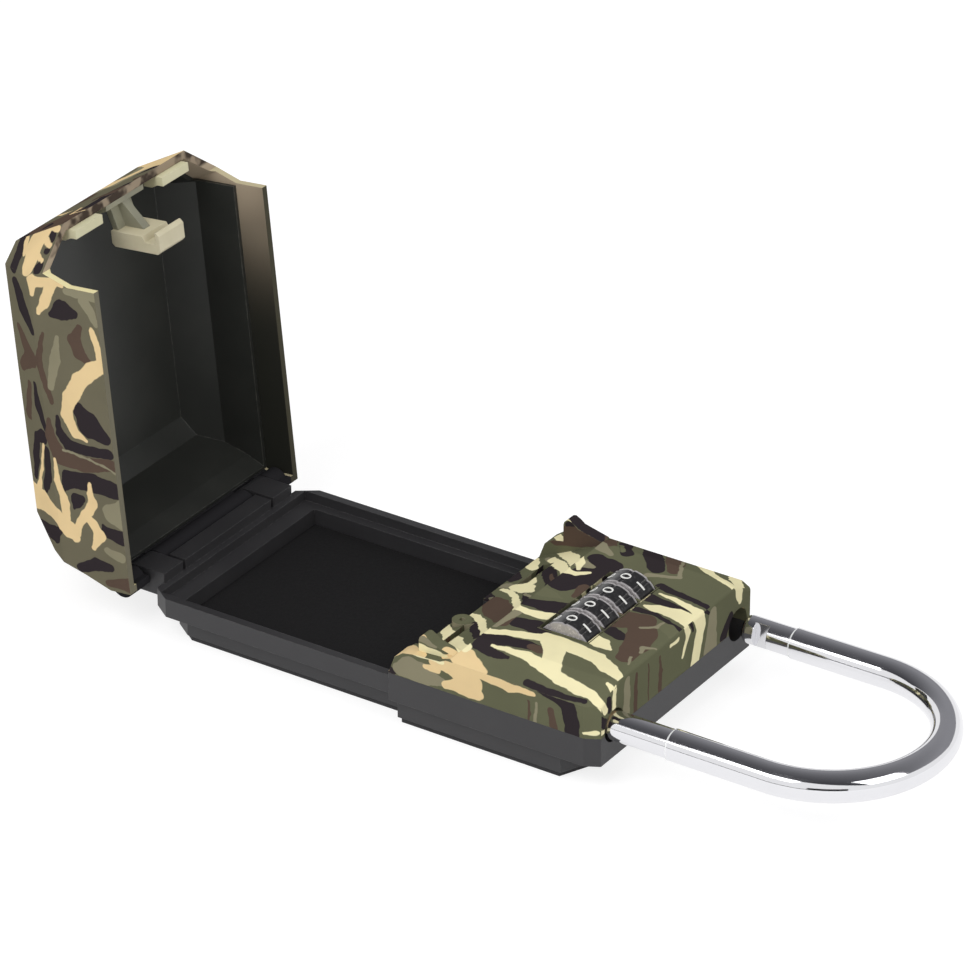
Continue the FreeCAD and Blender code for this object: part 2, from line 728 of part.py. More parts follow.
for number, level in enumerate(dial_levels, 1):
    dial = new_body("dial_%d" % number)
    rim = circles(dial, "XZ_Plane", level, [("dial_x", "dial_z", "dial_diameter"),
                                            ("dial_x", "dial_z", "sleeve_diameter")])
    pad(dial, rim, "dial_width", True)
    for step in range(10):
        angle = 18 + 36 * step
        notch_x = "dial_x + (dial_diameter/2 + dial_notch)*cos(%d)" % angle
        notch_z = "dial_z + (dial_diameter/2 + dial_notch)*sin(%d)" % angle
        notch = circles(dial, "XZ_Plane", level, [(notch_x, notch_z, "3*dial_notch")])
        pocket(dial, notch, "dial_width + overcut", True)
    sleeve = new_body("code_sleeve_%d" % number)
    barrel = circles(sleeve, "XZ_Plane", level, [("dial_x", "dial_z", "sleeve_diameter"),
                                                 ("dial_x", "dial_z", "axle_diameter + 2*running_gap")])
    pad(sleeve, barrel, "dial_width", True)
    gate = oblong("dial_x - gate_width/2", "dial_x + gate_width/2",
                  "dial_z + sleeve_diameter/2 - gate_depth", "dial_z + sleeve_diameter/2 + overcut")
    pocket(sleeve, outline(sleeve, "XZ_Plane", level, gate), "dial_width + overcut", True)

# Lock frame that carries the axle, its leaf spring and its screws

lock_frame = new_body("lock_frame")
base_plan = oblong("dial_x - frame_length/2", "dial_x + frame_length/2", "-frame_half", "frame_half")
pad(lock_frame, outline(lock_frame, "XY_Plane", "frame_top - frame_thickness", base_plan), "frame_thickness")
tab_plan = oblong("dial_x - frame_boss/2", "dial_x + frame_boss/2",
                  "-(boss_y + frame_boss/2)", "boss_y + frame_boss/2")
pad(lock_frame, outline(lock_frame, "XY_Plane", "frame_top - frame_thickness", tab_plan), "frame_thickness")
for side in ("-", ""):
    level = side + "(frame_half - cheek_thickness/2)"
    cheek = oblong("dial_x - cheek_length/2", "dial_x + cheek_length/2",
                   "frame_top - join", "block_height - cover_wall - slot_gap")
    pad(lock_frame, outline(lock_frame, "XZ_Plane", level, cheek), "cheek_thickness", True)
axle_hole = circles(lock_frame, "XZ_Plane", "0", [("dial_x", "dial_z", "axle_diameter + axle_fit")])
pocket(lock_frame, axle_hole, "lock_width", True)
frame_screw_holes = circles(lock_frame, "XY_Plane", "frame_top + overcut",
                            [(x, y, "frame_screw + screw_gap") for x, y in bosses])
pocket(lock_frame, frame_screw_holes, "frame_thickness + 2*overcut")
axle_length = "2*(frame_half + axle_end)"
dial_axle = rod("dial_axle", "XZ_Plane", "0", "dial_x", "dial_z", "axle_diameter", axle_length)

detent_spring = new_body("detent_spring")
strip_plan = oblong("dial_x - strip_setback - strip_width", "dial_x - strip_setback",
                    "-dial_field/2", "dial_field/2")
pad(detent_spring, outline(detent_spring, "XY_Plane", "frame_top", strip_plan), "spring_thickness")
for level in dial_levels:
    finger = oblong("dial_x - strip_setback - join", "dial_x + finger_reach",
                    level + " - finger_width/2", level + " + finger_width/2")
    pad(detent_spring, outline(detent_spring, "XY_Plane", "frame_top", finger), "spring_thickness")

frame_screws = new_body("frame_screws")
shanks = circles(frame_screws, "XY_Plane", "frame_top - frame_screw_length",
                 [(x, y, "frame_screw") for x, y in bosses])
pad(frame_screws, shanks, "frame_screw_length + join")
heads = circles(frame_screws, "XY_Plane", "frame_top", [(x, y, "frame_screw_head") for x, y in bosses])
pad(frame_screws, heads, "frame_head_height")

case_screws = new_body("case_screws")
case_heads = circles(case_screws, "XY_Plane", "pad_thickness + head_sink",
                     [(x, y, "case_screw_head") for x, y in posts])
pad(case_screws, case_heads, "head_height")
case_shanks = circles(case_screws, "XY_Plane", "pad_thickness + head_height",
                      [(x, y, "case_screw") for x, y in posts])
pad(case_screws, case_shanks, "band_top + screw_bite - 2*screw_gap - pad_thickness - head_height")

# Latch plate, shackle bolt and reset button

latch_plate = new_body("latch_plate")
tongue_x = "(post_x + post_neck + lid_gap + latch_travel)"
tongue = oblong(tongue_x, tongue_x + " + tongue_length + join", "-tongue_width/2", "tongue_width/2")
pad(latch_plate, outline(latch_plate, "XY_Plane", "plate_low", tongue), "plate_thickness")
plate = oblong(tongue_x + " + tongue_length", tongue_x + " + plate_length",
               "-plate_width/2", "plate_width/2")
pad(latch_plate, outline(latch_plate, "XY_Plane", "plate_low", plate), "plate_thickness")

bolt_plan = oblong(bolt_x + " - bolt_width/2", bolt_x + " + bolt_width/2",
                   "bolt_tip - bolt_length", "bolt_tip")
shackle_bolt = prism("shackle_bolt", "XY_Plane", bolt_low, bolt_plan, "bolt_height", False)

reset_button = new_body("reset_button")
stem = circles(reset_button, "XY_Plane", "floor_top + reset_travel + lid_gap",
               [(reset_x, "-reset_offset", "reset_stem")])
pad(reset_button, stem, "band_top - floor_top")
cap = circles(reset_button, "XY_Plane", "band_top + reset_travel + slide_gap",
              [(reset_x, "-reset_offset", "reset_diameter")])
reset_top = apron_at(reset_x) + " + reset_rise"
pad(reset_button, cap, reset_top + " - band_top - reset_travel - slide_gap")
dimple = circles(reset_button, "XY_Plane", reset_top, [(reset_x, "-reset_offset", "reset_dimple")])
pocket(reset_button, dimple, "reset_dimple/2")

# Guide tubes for the two shackle legs

long_leg_guide = tube("long_leg_guide", "YZ_Plane", "guide_end - long_guide_length/2",
                      "-leg_y", "leg_height", "2*guide_half", "guide_bore", "long_guide_length")
neck_low = "(front_end - long_leg_insert + 3*clip_thickness)"
neck = circles(long_leg_guide, "YZ_Plane", "(guide_end + %s)/2" % neck_low,
               [("-leg_y", "leg_height", "guide_bore + guide_wall"),
                ("-leg_y", "leg_height", "guide_neck_bore")])
pad(long_leg_guide, neck, "guide_end - %s" % neck_low, True)

short_leg_guide = tube("short_leg_guide", "YZ_Plane", "guide_end - short_guide_length/2",
                       "leg_y", "leg_height", "2*guide_half", "guide_bore", "short_guide_length")
bolt_window = oblong(bolt_x + " - bolt_width/2 - bolt_gap", bolt_x + " + bolt_width/2 + bolt_gap",
                     "leg_y - guide_bore", "leg_y - overcut")
window_sketch = outline(short_leg_guide, "XY_Plane", "leg_height + bolt_height/2 + bolt_gap", bolt_window)
pocket(short_leg_guide, window_sketch, "bolt_height + 2*bolt_gap")

# Shackle: a half-round bow, two legs, and slimmer stems where the legs enter the housing

shackle = new_body("shackle")
bow_x = "(front_end + bow_centre)"
stem_x = "(front_end + stem_length)"
long_x = "(front_end - long_leg_insert)"
short_x = "(front_end + short_leg_gap)"
bow_axis = shackle.newObject("PartDesign::Line", "bow_axis")
bow_axis.setExpression("Placement.Base.x", bound(bow_x))
bow = shackle.newObject("PartDesign::Revolution", "shackle_bow")
bow.Profile = circles(shackle, "YZ_Plane", bow_x, [("-leg_y", "leg_height", "leg_diameter")])
bow.ReferenceAxis = (bow_axis, [""])
bow.Angle = 180
shackle.Tip = bow
doc.recompute()
for side in ("-", ""):
    leg = circles(shackle, "YZ_Plane", stem_x, [(side + "leg_y", "leg_height", "leg_diameter")])
    pad(shackle, leg, "bow_centre - stem_length")
clip_x = "(front_end - long_leg_insert + clip_thickness)"
clip_slot = "(clip_thickness + slide_gap)"
stems = (("-", long_x, clip_x, "stem_diameter"),
         ("-", clip_x, "%s + %s" % (clip_x, clip_slot), "clip_neck"),
         ("-", "%s + %s" % (clip_x, clip_slot), stem_x, "stem_diameter"),
         ("", short_x, stem_x, "stem_diameter"))
for side, low, high, diameter in stems:
    sketch = circles(shackle, "YZ_Plane", low, [(side + "leg_y", "leg_height", diameter)])
    pad(shackle, sketch, "%s - (%s)" % (high, low))


def short_tip(first, last):
    """The rim of the short leg's free end."""
    tip = sizes.get("base_length") / 2 + sizes.get("short_leg_gap")
    return max(first.x, last.x) < tip + CLOSE and first.y > 0


round_edges(shackle, short_tip, "tip_round")
notch_low = short_x + " + leg_notch_start"
notch = oblong(notch_low, notch_low + " + leg_notch_length",
               "leg_y - stem_diameter", "leg_y - stem_diameter/2 + leg_notch_depth")
pocket(shackle, outline(shackle, "XY_Plane", "leg_height", notch), "2*leg_diameter", True)

shackle_clip = tube("shackle_clip", "YZ_Plane", "%s + %s/2" % (clip_x, clip_slot), "-leg_y", "leg_height",
                    "guide_bore - 2*slide_gap", "clip_neck + slide_gap", "clip_thickness")


# Lid: an outer form less an inner one, drawn closed and swung open as a whole

def cut_corner(body, inset, sign):
    """The slanting facet between a side wall and the end wall, cut away as a lofted wedge."""
    reach = "(lock_front + lid_side_reach - (%s)*sqrt(1 + facet_run^2 + lid_end_slope^2))" % inset
    sections = []
    for level in ("(step_height - 2*overcut)", "(lid_front + overcut)"):
        x = "(%s - (%s - lid_side_height)*lid_end_slope)" % (reach, level)
        wedge = [
            (x + " - facet_run*lid_depth", sign + "(lock_half + lid_depth)"),
            (x + " + facet_run*lid_depth", sign + "(lock_half - lid_depth)"),
            (x + " + base_length", sign + "(lock_half - lid_depth)"),
            (x + " + base_length", sign + "(lock_half + lid_depth)"),
        ]
        sections.append(outline(body, "XY_Plane", level, wedge))
    loft(body, sections, True)


# Share of a wall by which the corner between the lid's sloping back and its front moves in.
MITRE = 0.7


def lid_form(name, inset, low, end_points):
    """A solid that follows the outside of the lid at an inset, from a low level to the front."""
    body = new_body(name)
    front = "(lid_front - (%s))" % inset
    slant = "((%s)*sqrt(1 + lid_end_slope^2))" % inset
    side = [
        ("hinge_x - lid_back_overhang + %s" % inset, low),
        ("hinge_x - lid_back_overhang + %s" % inset, "step_height + lid_back_straight + (%s)/2" % inset),
        ("hinge_x + lid_back_middle_run + %s" % inset, "step_height + lid_back_middle"),
        ("hinge_x + lid_back_high_run + %s" % inset, "step_height + lid_back_high"),
        ("hinge_x + lid_back_front_run + (%s)*%g" % (inset, MITRE), front),
        (lid_end_at(front) + " - " + slant, front),
    ]
    pad(body, outline(body, "XZ_Plane", "0", side + end_points(slant)), "2*(lock_half - (%s))" % inset, True)
    bevel_lean = "(lid_front_inset/(lid_front - lid_bevel_height))"
    for sign in ("-", ""):
        wedge = [
            (sign + "(lock_half - (%s))" % inset, "lid_bevel_height"),
            (sign + "lock_width", "lid_bevel_height"),
            (sign + "lock_width", "lid_front + overcut"),
            (sign + "(lid_front_half - (%s) - overcut*%s)" % (inset, bevel_lean), "lid_front + overcut"),
        ]
        pocket(body, outline(body, "YZ_Plane", "0", wedge), "3*base_length", True)
        cut_corner(body, inset, sign)
    return body


def shell_end(slant):
    return [("lid_end", "lid_rim_height"), ("lid_end", "step_height")]


def open_end(slant):
    return [("lid_end - " + slant, "lid_rim_height"), ("lid_end - " + slant, "step_height - overcut")]


LINER_TOP = "(seat_high + lid_lip)"


def liner_end(slant):
    rim = "lock_front - lid_lip"
    return [(lid_end_at(LINER_TOP) + " - " + slant, LINER_TOP), (rim, LINER_TOP), (rim, "step_height")]


def liner_void_end(slant):
    x = lid_end_at(LINER_TOP) + " - " + slant
    return [(x, LINER_TOP), (x, "step_height - overcut")]


lid_outside = lid_form("lid_outside", "0", "step_height", shell_end)


def sharp_lid_edge(first, last):
    return min(first.z, last.z) > sizes.get("lid_bevel_height") + sizes.get("lid_wall")


round_edges(lid_outside, sharp_lid_edge, "lid_round")
lid_inside = lid_form("lid_inside", "lid_wall", "step_height - overcut", open_end)
knuckles = [("0", "2*(lug_y - lug_width/2 - hinge_gap)")]
for side in ("-", ""):
    knuckles.append((side + "(lug_y + lug_width/2 + hinge_gap + knuckle_width/2)", "knuckle_width"))
for level, width in knuckles:
    eye = [("hinge_x", "hinge_height", "knuckle_diameter")]
    pad(lid_outside, circles(lid_outside, "XZ_Plane", level, eye), width, True)
    pocket(lid_inside, circles(lid_inside, "XZ_Plane", level, eye), width, True)
for side in ("-", ""):
    notch = oblong("hinge_x - knuckle_diameter", "hinge_x + knuckle_diameter", "step_height - overcut",
                   "hinge_height + knuckle_diameter/2 + hinge_gap")
    sketch = outline(lid_outside, "XZ_Plane", side + "lug_y", notch)
    pocket(lid_outside, sketch, "lug_width + 2*hinge_gap", True)
rim_cut = [
    ("lock_front - lid_gap", "step_height - overcut"),
    ("lock_front - lid_gap", "band_top + lid_gap"),
    ("lock_front + lid_side_reach", "lid_side_height"),
    ("lid_end + overcut", "lid_rim_height"),
    ("lid_end + overcut", "step_height - overcut"),
]
pocket(lid_outside, outline(lid_outside, "XZ_Plane", "0", rim_cut), "2*lock_width", True)
pocket(lid_outside, circles(lid_outside, "XZ_Plane", "0", pin_circle), "pin_length + 2*slide_gap", True)


def cut(name, base, tool):
    item = doc.addObject("Part::Cut", name)
    item.Label = name
    item.Base = base
    item.Tool = tool
    swing_open(item)
    return item


lid_shell = cut("lid_shell", lid_outside, lid_inside)
liner_low = "(hinge_height + knuckle_diameter/2 + lid_gap)"
liner_outside = lid_form("liner_outside", "lid_wall", "step_height", liner_end)
below = oblong("hinge_x - hinge_reach", "front_end", "-step_height", liner_low)
pocket(liner_outside, outline(liner_outside, "XZ_Plane", "0", below), "2*lock_width", True)
liner_inside = lid_form("liner_inside", "(lid_wall + lid_liner)", "step_height - overcut", liner_void_end)
lid_liner = cut("lid_liner", liner_outside, liner_inside)


def lid_face(z):
    """X of the inner face of the lid's sloping end wall at a given height."""
    return "(%s - lid_wall*sqrt(1 + lid_end_slope^2))" % lid_end_at(z)


# Latch post, its bracket and two tabs on the lid

post_profile = [
    ("post_x", "post_tip_height + post_chamfer"),
    ("post_x + post_chamfer", "post_tip_height"),
    ("post_x + post_thickness - post_chamfer", "post_tip_height"),
    ("post_x + post_thickness", "post_tip_height + post_chamfer"),
    ("post_x + post_thickness", "hook_top"),
    ("post_x + post_neck", "hook_top"),
    ("post_x + post_neck", "hook_top + post_notch"),
    ("post_x + post_body", "hook_top + post_notch + post_chamfer"),
    ("post_x + post_body", "post_top_height"),
    ("post_x + post_chamfer", "post_top_height"),
    ("post_x", "post_top_height - post_chamfer"),
]
latch_post = prism("latch_post", "XZ_Plane", "0", post_profile, "post_width")

latch_bracket = new_body("latch_bracket")
bracket_end = "(post_x + post_body)"
arm = [
    (bracket_end, "post_top_height - bracket_thickness"),
    (lid_face("(seat_high - bracket_thickness)"), "seat_high - bracket_thickness"),
    (lid_face("seat_high"), "seat_high"),
    (bracket_end, "post_top_height"),
]
pad(latch_bracket, outline(latch_bracket, "XZ_Plane", "0", arm), "bracket_arm", True)
flange = [
    (lid_face("seat_low") + " - bracket_thickness", "seat_low"),
    (lid_face("seat_low"), "seat_low"),
    (lid_face("seat_high"), "seat_high"),
    (lid_face("seat_high") + " - bracket_thickness", "seat_high"),
]
pad(latch_bracket, outline(latch_bracket, "XZ_Plane", "0", flange), "bracket_width", True)
web = [
    (bracket_end, "post_top_height - 2*wall_seat"),
    (lid_face("seat_low") + " - bracket_thickness", "seat_low"),
    (lid_face("seat_high") + " - bracket_thickness", "seat_high"),
    (bracket_end, "post_top_height"),
]
pad(latch_bracket, outline(latch_bracket, "XZ_Plane", "0", web), "bracket_web", True)

tab_profile = [
    (tab_x + " - tab_thickness/2", "tab_tip_height"),
    (tab_x + " + tab_thickness/2", "tab_tip_height"),
    (tab_x + " + tab_thickness/2", "seat_low"),
    (lid_face("seat_low"), "seat_low"),
    (lid_face("seat_high"), "seat_high"),
    (lid_face("seat_high") + " - foot_thickness", "seat_high"),
    (lid_face("seat_high") + " - foot_thickness", "tab_tip_height + tab_height"),
    (tab_x + " - tab_thickness/2", "tab_tip_height + tab_height/2"),
]
lid_tab_near = prism("lid_tab_near", "XZ_Plane", "-tab_y", tab_profile, "tab_length")
cut_corner(lid_tab_near, "(lid_wall + slide_gap)", "-")
lid_tab_far = prism("lid_tab_far", "XZ_Plane", "tab_y", tab_profile, "tab_length")
cut_corner(lid_tab_far, "(lid_wall + slide_gap)", "")
for body in (latch_post, latch_bracket, lid_tab_near, lid_tab_far):
    swing_open(body)

hinge_pin = rod("hinge_pin", "XZ_Plane", "0", "hinge_x", "hinge_height", "pin_diameter", "pin_length")

# Checks of every piece, then the files

os.makedirs("parts", exist_ok=True)
helpers = (lid_outside, lid_inside, liner_outside, liner_inside)
made = [item for item in doc.Objects if item.TypeId in ("PartDesign::Body", "Part::Cut")]
nodes = [item for item in made if item not in helpers]
doc.recompute()
for item in doc.Objects:
    if "Invalid" in item.State or "Error" in item.State:
        raise ValueError("%s has failed: %s" % (item.Name, item.State))
for node in nodes:
    shape = node.Shape
    if shape.isNull() or not shape.isValid():
        raise ValueError("%s has no valid solid" % node.Label)
    print(node.Label, len(shape.Solids), round(shape.Volume, 1))
    shape.exportStep("parts/%s.step" % node.Label)
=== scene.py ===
# %% [markdown]
# # A portable key lock box, dressed for its picture
#
# The CAD model gives the shape of every piece, in metres and in one fixed frame. This lesson adds
# what CAD leaves out: the printed camouflage, the grain of moulded plastic, polished and brushed
# metal, the digits on the code dials, light and a camera.

# %% Load the model
import json
from math import cos, pi, radians, sin

import bmesh
import bpy
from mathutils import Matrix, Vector


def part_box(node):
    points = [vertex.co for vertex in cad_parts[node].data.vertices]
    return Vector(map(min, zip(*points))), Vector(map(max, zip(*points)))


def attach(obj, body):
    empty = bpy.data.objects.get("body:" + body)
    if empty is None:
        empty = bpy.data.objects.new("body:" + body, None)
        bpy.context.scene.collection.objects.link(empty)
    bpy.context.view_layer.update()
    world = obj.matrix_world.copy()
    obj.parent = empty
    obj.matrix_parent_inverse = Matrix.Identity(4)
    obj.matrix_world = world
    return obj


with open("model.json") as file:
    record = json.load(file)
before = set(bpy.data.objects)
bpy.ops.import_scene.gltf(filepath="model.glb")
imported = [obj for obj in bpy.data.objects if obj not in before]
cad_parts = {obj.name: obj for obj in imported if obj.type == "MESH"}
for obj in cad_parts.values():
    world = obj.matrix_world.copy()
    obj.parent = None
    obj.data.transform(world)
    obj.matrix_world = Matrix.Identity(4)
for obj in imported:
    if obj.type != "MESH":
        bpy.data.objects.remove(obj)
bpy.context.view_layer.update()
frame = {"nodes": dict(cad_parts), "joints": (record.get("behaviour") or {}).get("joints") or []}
nodes = frame["nodes"]

# %% [markdown]
# ## Lengths
#
# Everything is measured in metres, so one millimetre gets a name. The places of the dials, the
# shackle, the screws and the lid are read from the CAD model, never typed again.

# %% Lengths from the model
MM = 0.001


def span(node, axis):
    """The lowest and highest value of a CAD node along one axis, 0 for X to 2 for Z."""
    low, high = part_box(node)
    return low[axis], high[axis]


def middle(node):
    """The middle of a CAD node's box."""
    low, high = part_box(node)
    return (Vector(low) + Vector(high)) / 2


dial_radius = (span("dial_1", 0)[1] - span("dial_1", 0)[0]) / 2
dial_half_wide = (span("dial_1", 1)[1] - span("dial_1", 1)[0]) / 2
print("dial radius %.2f mm, half its width %.2f mm" % (dial_radius / MM, dial_half_wide / MM))

# %% [markdown]
# ## Colours
#
# A colour picked from a picture is in sRGB, and a shader wants linear light. One function
# turns the first into the second.

# %% Colours
def colour(red, green, blue):
    """A colour given as it looks on a screen, 0 to 255, as linear red, green, blue and alpha."""
    return tuple((c / 255 / 12.92) if c < 11 else ((c / 255 + 0.055) / 1.055) ** 2.4
                 for c in (red, green, blue)) + (1.0,)


CREAM = colour(244, 234, 188)
TAN = colour(234, 206, 156)
OLIVE = colour(108, 108, 84)
KHAKI = colour(142, 136, 112)
DARK = colour(52, 46, 49)
BROWN = colour(92, 76, 66)
print("camouflage colours ready")

# %% [markdown]
# ## Sums on shader sockets
#
# A pattern is a sum over the surface, such as "distance to this stroke, less its width". Each step
# of a sum is a small Math node. Wrapping a socket in a class lets the sum be written as Python:
# `1 - mask * wear` adds the nodes by itself. Vectors go through Vector Math, and colours through Mix.

# %% The socket class
class Field:
    """A shader socket that can be used in sums."""

    def __init__(self, maker, socket):
        self.maker, self.socket = maker, socket

    def math(self, operation, *others):
        """A Math node on this socket and the others."""
        values = dict(enumerate((self,) + others))
        return self.maker.node("ShaderNodeMath", {"operation": operation}, values)

    def vector(self, operation, *others, output=0):
        """A Vector Math node on this socket and the others."""
        values = dict(enumerate((self,) + others))
        return self.maker.node("ShaderNodeVectorMath", {"operation": operation}, values, output)

    def sum(self, operation, first, second):
        """A Math node, or a Vector Math node where either side has three values."""
        kind, sides = "ShaderNodeMath", (first, second)
        if any(isinstance(side, Field) and side.socket.type in ("VECTOR", "RGBA") for side in sides):
            kind = "ShaderNodeVectorMath"
            first, second = ((side,) * 3 if isinstance(side, (int, float)) else side for side in sides)
        return self.maker.node(kind, {"operation": operation}, {0: first, 1: second})

    def __add__(self, other):
        return self.sum("ADD", self, other)

    def __radd__(self, other):
        return self.sum("ADD", other, self)

    def __sub__(self, other):
        return self.sum("SUBTRACT", self, other)

    def __rsub__(self, other):
        return self.sum("SUBTRACT", other, self)

    def __mul__(self, other):
        return self.sum("MULTIPLY", self, other)

    def __rmul__(self, other):
        return self.sum("MULTIPLY", other, self)

    def low(self, other):
        """The lower of the two."""
        return self.math("MINIMUM", other)

    def high(self, other):
        """The higher of the two."""
        return self.math("MAXIMUM", other)

    def rise(self, start, end):
        """0 below start, 1 above end, and a smooth step between. It falls where end is the smaller."""
        settings = {"interpolation_type": "SMOOTHSTEP", "clamp": False}
        values = {"Value": self, "From Min": start, "From Max": end}
        return self.maker.node("ShaderNodeMapRange", settings, values)


print("sums on sockets: add, subtract and multiply, from either side")

# %% [markdown]
# ## One finish, one material
#
# A tree of nodes belongs to a material or to the world. The `node` method makes any node in it:
# settings first, because they can change which sockets exist, then the values and links. A finish
# is the tree of one material, with the place of each surface point ready in millimetres.

# %% The finish class
class Tree:
    """An empty node tree, to be filled."""

    def __init__(self, tree):
        self.tree = tree
        self.tree.nodes.clear()

    def node(self, kind, settings, values, output=0):
        """A node of any kind. Returns one of its outputs, by number or name."""
        item = self.tree.nodes.new(kind)
        for name, value in settings.items():
            setattr(item, name, value)
        for name, value in values.items():
            if isinstance(value, Field):
                self.tree.links.new(value.socket, item.inputs[name])
            else:
                item.inputs[name].default_value = value
        return None if output is None else Field(self, item.outputs[output])


class Finish(Tree):
    """The nodes of one material. Places and normals are the piece's own, so they turn with it."""

    def __init__(self, name):
        self.material = bpy.data.materials.new(name)
        self.material.use_nodes = True
        super().__init__(self.material.node_tree)
        place = self.node("ShaderNodeTexCoord", {}, {}, "Object")
        self.place = place * (1 / MM)

    def normal(self):
        """The surface normal in the piece's own directions."""
        return self.node("ShaderNodeTexCoord", {}, {}, "Normal")

    def mix(self, share, first, second):
        """The first colour where share is 0, and the second where it is 1."""
        return self.node("ShaderNodeMix", {"data_type": "RGBA"}, {0: share, 6: first, 7: second}, 2)

    def noise(self, size, place=None, detail=2.0, rough=0.5, output="Fac"):
        """Soft random values with features of about that size in millimetres."""
        values = {"Vector": place or self.place, "Scale": 1 / size, "Detail": detail, "Roughness": rough}
        return self.node("ShaderNodeTexNoise", {}, values, output)

    def part(self, vector, axis):
        """One value of a vector, 0 for X to 2 for Z."""
        return self.node("ShaderNodeSeparateXYZ", {}, {0: vector}, axis)

    def joined(self, x, y, z=0.0):
        """A vector from its values."""
        return self.node("ShaderNodeCombineXYZ", {}, {0: x, 1: y, 2: z})

    def bump(self, height, strength, depth=0.1, under=None):
        """A bump from a height that is given as a share of a depth in millimetres."""
        values = {"Height": height, "Strength": strength, "Distance": depth * MM}
        if under:
            values["Normal"] = under
        return self.node("ShaderNodeBump", {}, values)

    def rounded(self, radius):
        """The normal of the surface with its edges softened over a radius in millimetres."""
        return self.node("ShaderNodeBevel", {"samples": 6}, {"Radius": radius * MM})

    def edges(self, radius):
        """1 on sharp edges and 0 on flat faces, from the angle between the softened and the plain normal."""
        normal = self.node("ShaderNodeNewGeometry", {}, {}, "Normal")
        flat = self.rounded(radius).vector("DOT_PRODUCT", normal, output="Value")
        return (1 - flat).rise(0.01, 0.12)

    def finish(self, **values):
        """The surface shader, with uniform values set on its own sockets."""
        named = {name.replace("_", " "): value for name, value in values.items()}
        self.show(self.node("ShaderNodeBsdfPrincipled", {}, named))
        return self.material

    def show(self, surface):
        """Makes a shader the surface of this material."""
        self.node("ShaderNodeOutputMaterial", {}, {"Surface": surface}, None)


print("a finish has:", ", ".join(name for name in vars(Finish) if name[0] != "_"))

# %% [markdown]
# ## Camouflage
#
# The shell is printed with a common woodland camouflage: olive ground, dark and brown patches, and
# cream branches with soft ends. The print could come from an image, but this lesson uses none. Two
# ways are joined instead. Faces that the picture shows get listed patches: each is a chain of
# round-ended strokes, and a point belongs to it where its distance to the chain is below the chain's
# width. All other faces get patches from noise, at the same scale. A little noise bends every edge.

# %% Distance to a stroke
BLEND = 0.7
print("neighbouring parts of a stroke blend over %.1f mm" % BLEND)


def stroke(finish, point, path):
    """The distance from a point to a chain of (x, y, half width) places, less the chain's width."""
    nearest = None
    for (x, y, wide), (next_x, next_y, next_wide) in zip(path, path[1:]):
        run = Vector((next_x - x, next_y - y, 0))
        offset = point - (x, y, 0.0)
        share = offset.vector("DOT_PRODUCT", tuple(run / run.length_squared), output="Value")
        share = share.high(0.0).low(1.0)
        closest = finish.node("ShaderNodeVectorMath", {"operation": "SCALE"}, {0: tuple(run), "Scale": share})
        distance = offset.vector("DISTANCE", closest, output="Value")
        distance = share.math("MULTIPLY_ADD", wide - next_wide, distance) - wide
        nearest = nearest.math("SMOOTH_MIN", distance, BLEND) if nearest else distance
    return nearest


def nearest_stroke(finish, point, paths):
    """The distance to the nearest of several strokes."""
    nearest = None
    for path in paths:
        distance = stroke(finish, point, path)
        nearest = nearest.low(distance) if nearest else distance
    return nearest


# %% [markdown]
# ### The strokes on the lock cover
#
# Places are in millimetres: along X and Y for the top with its sloped apron, X and Z for the near
# side, Y and Z for the end. The third number is half the stroke's width there.

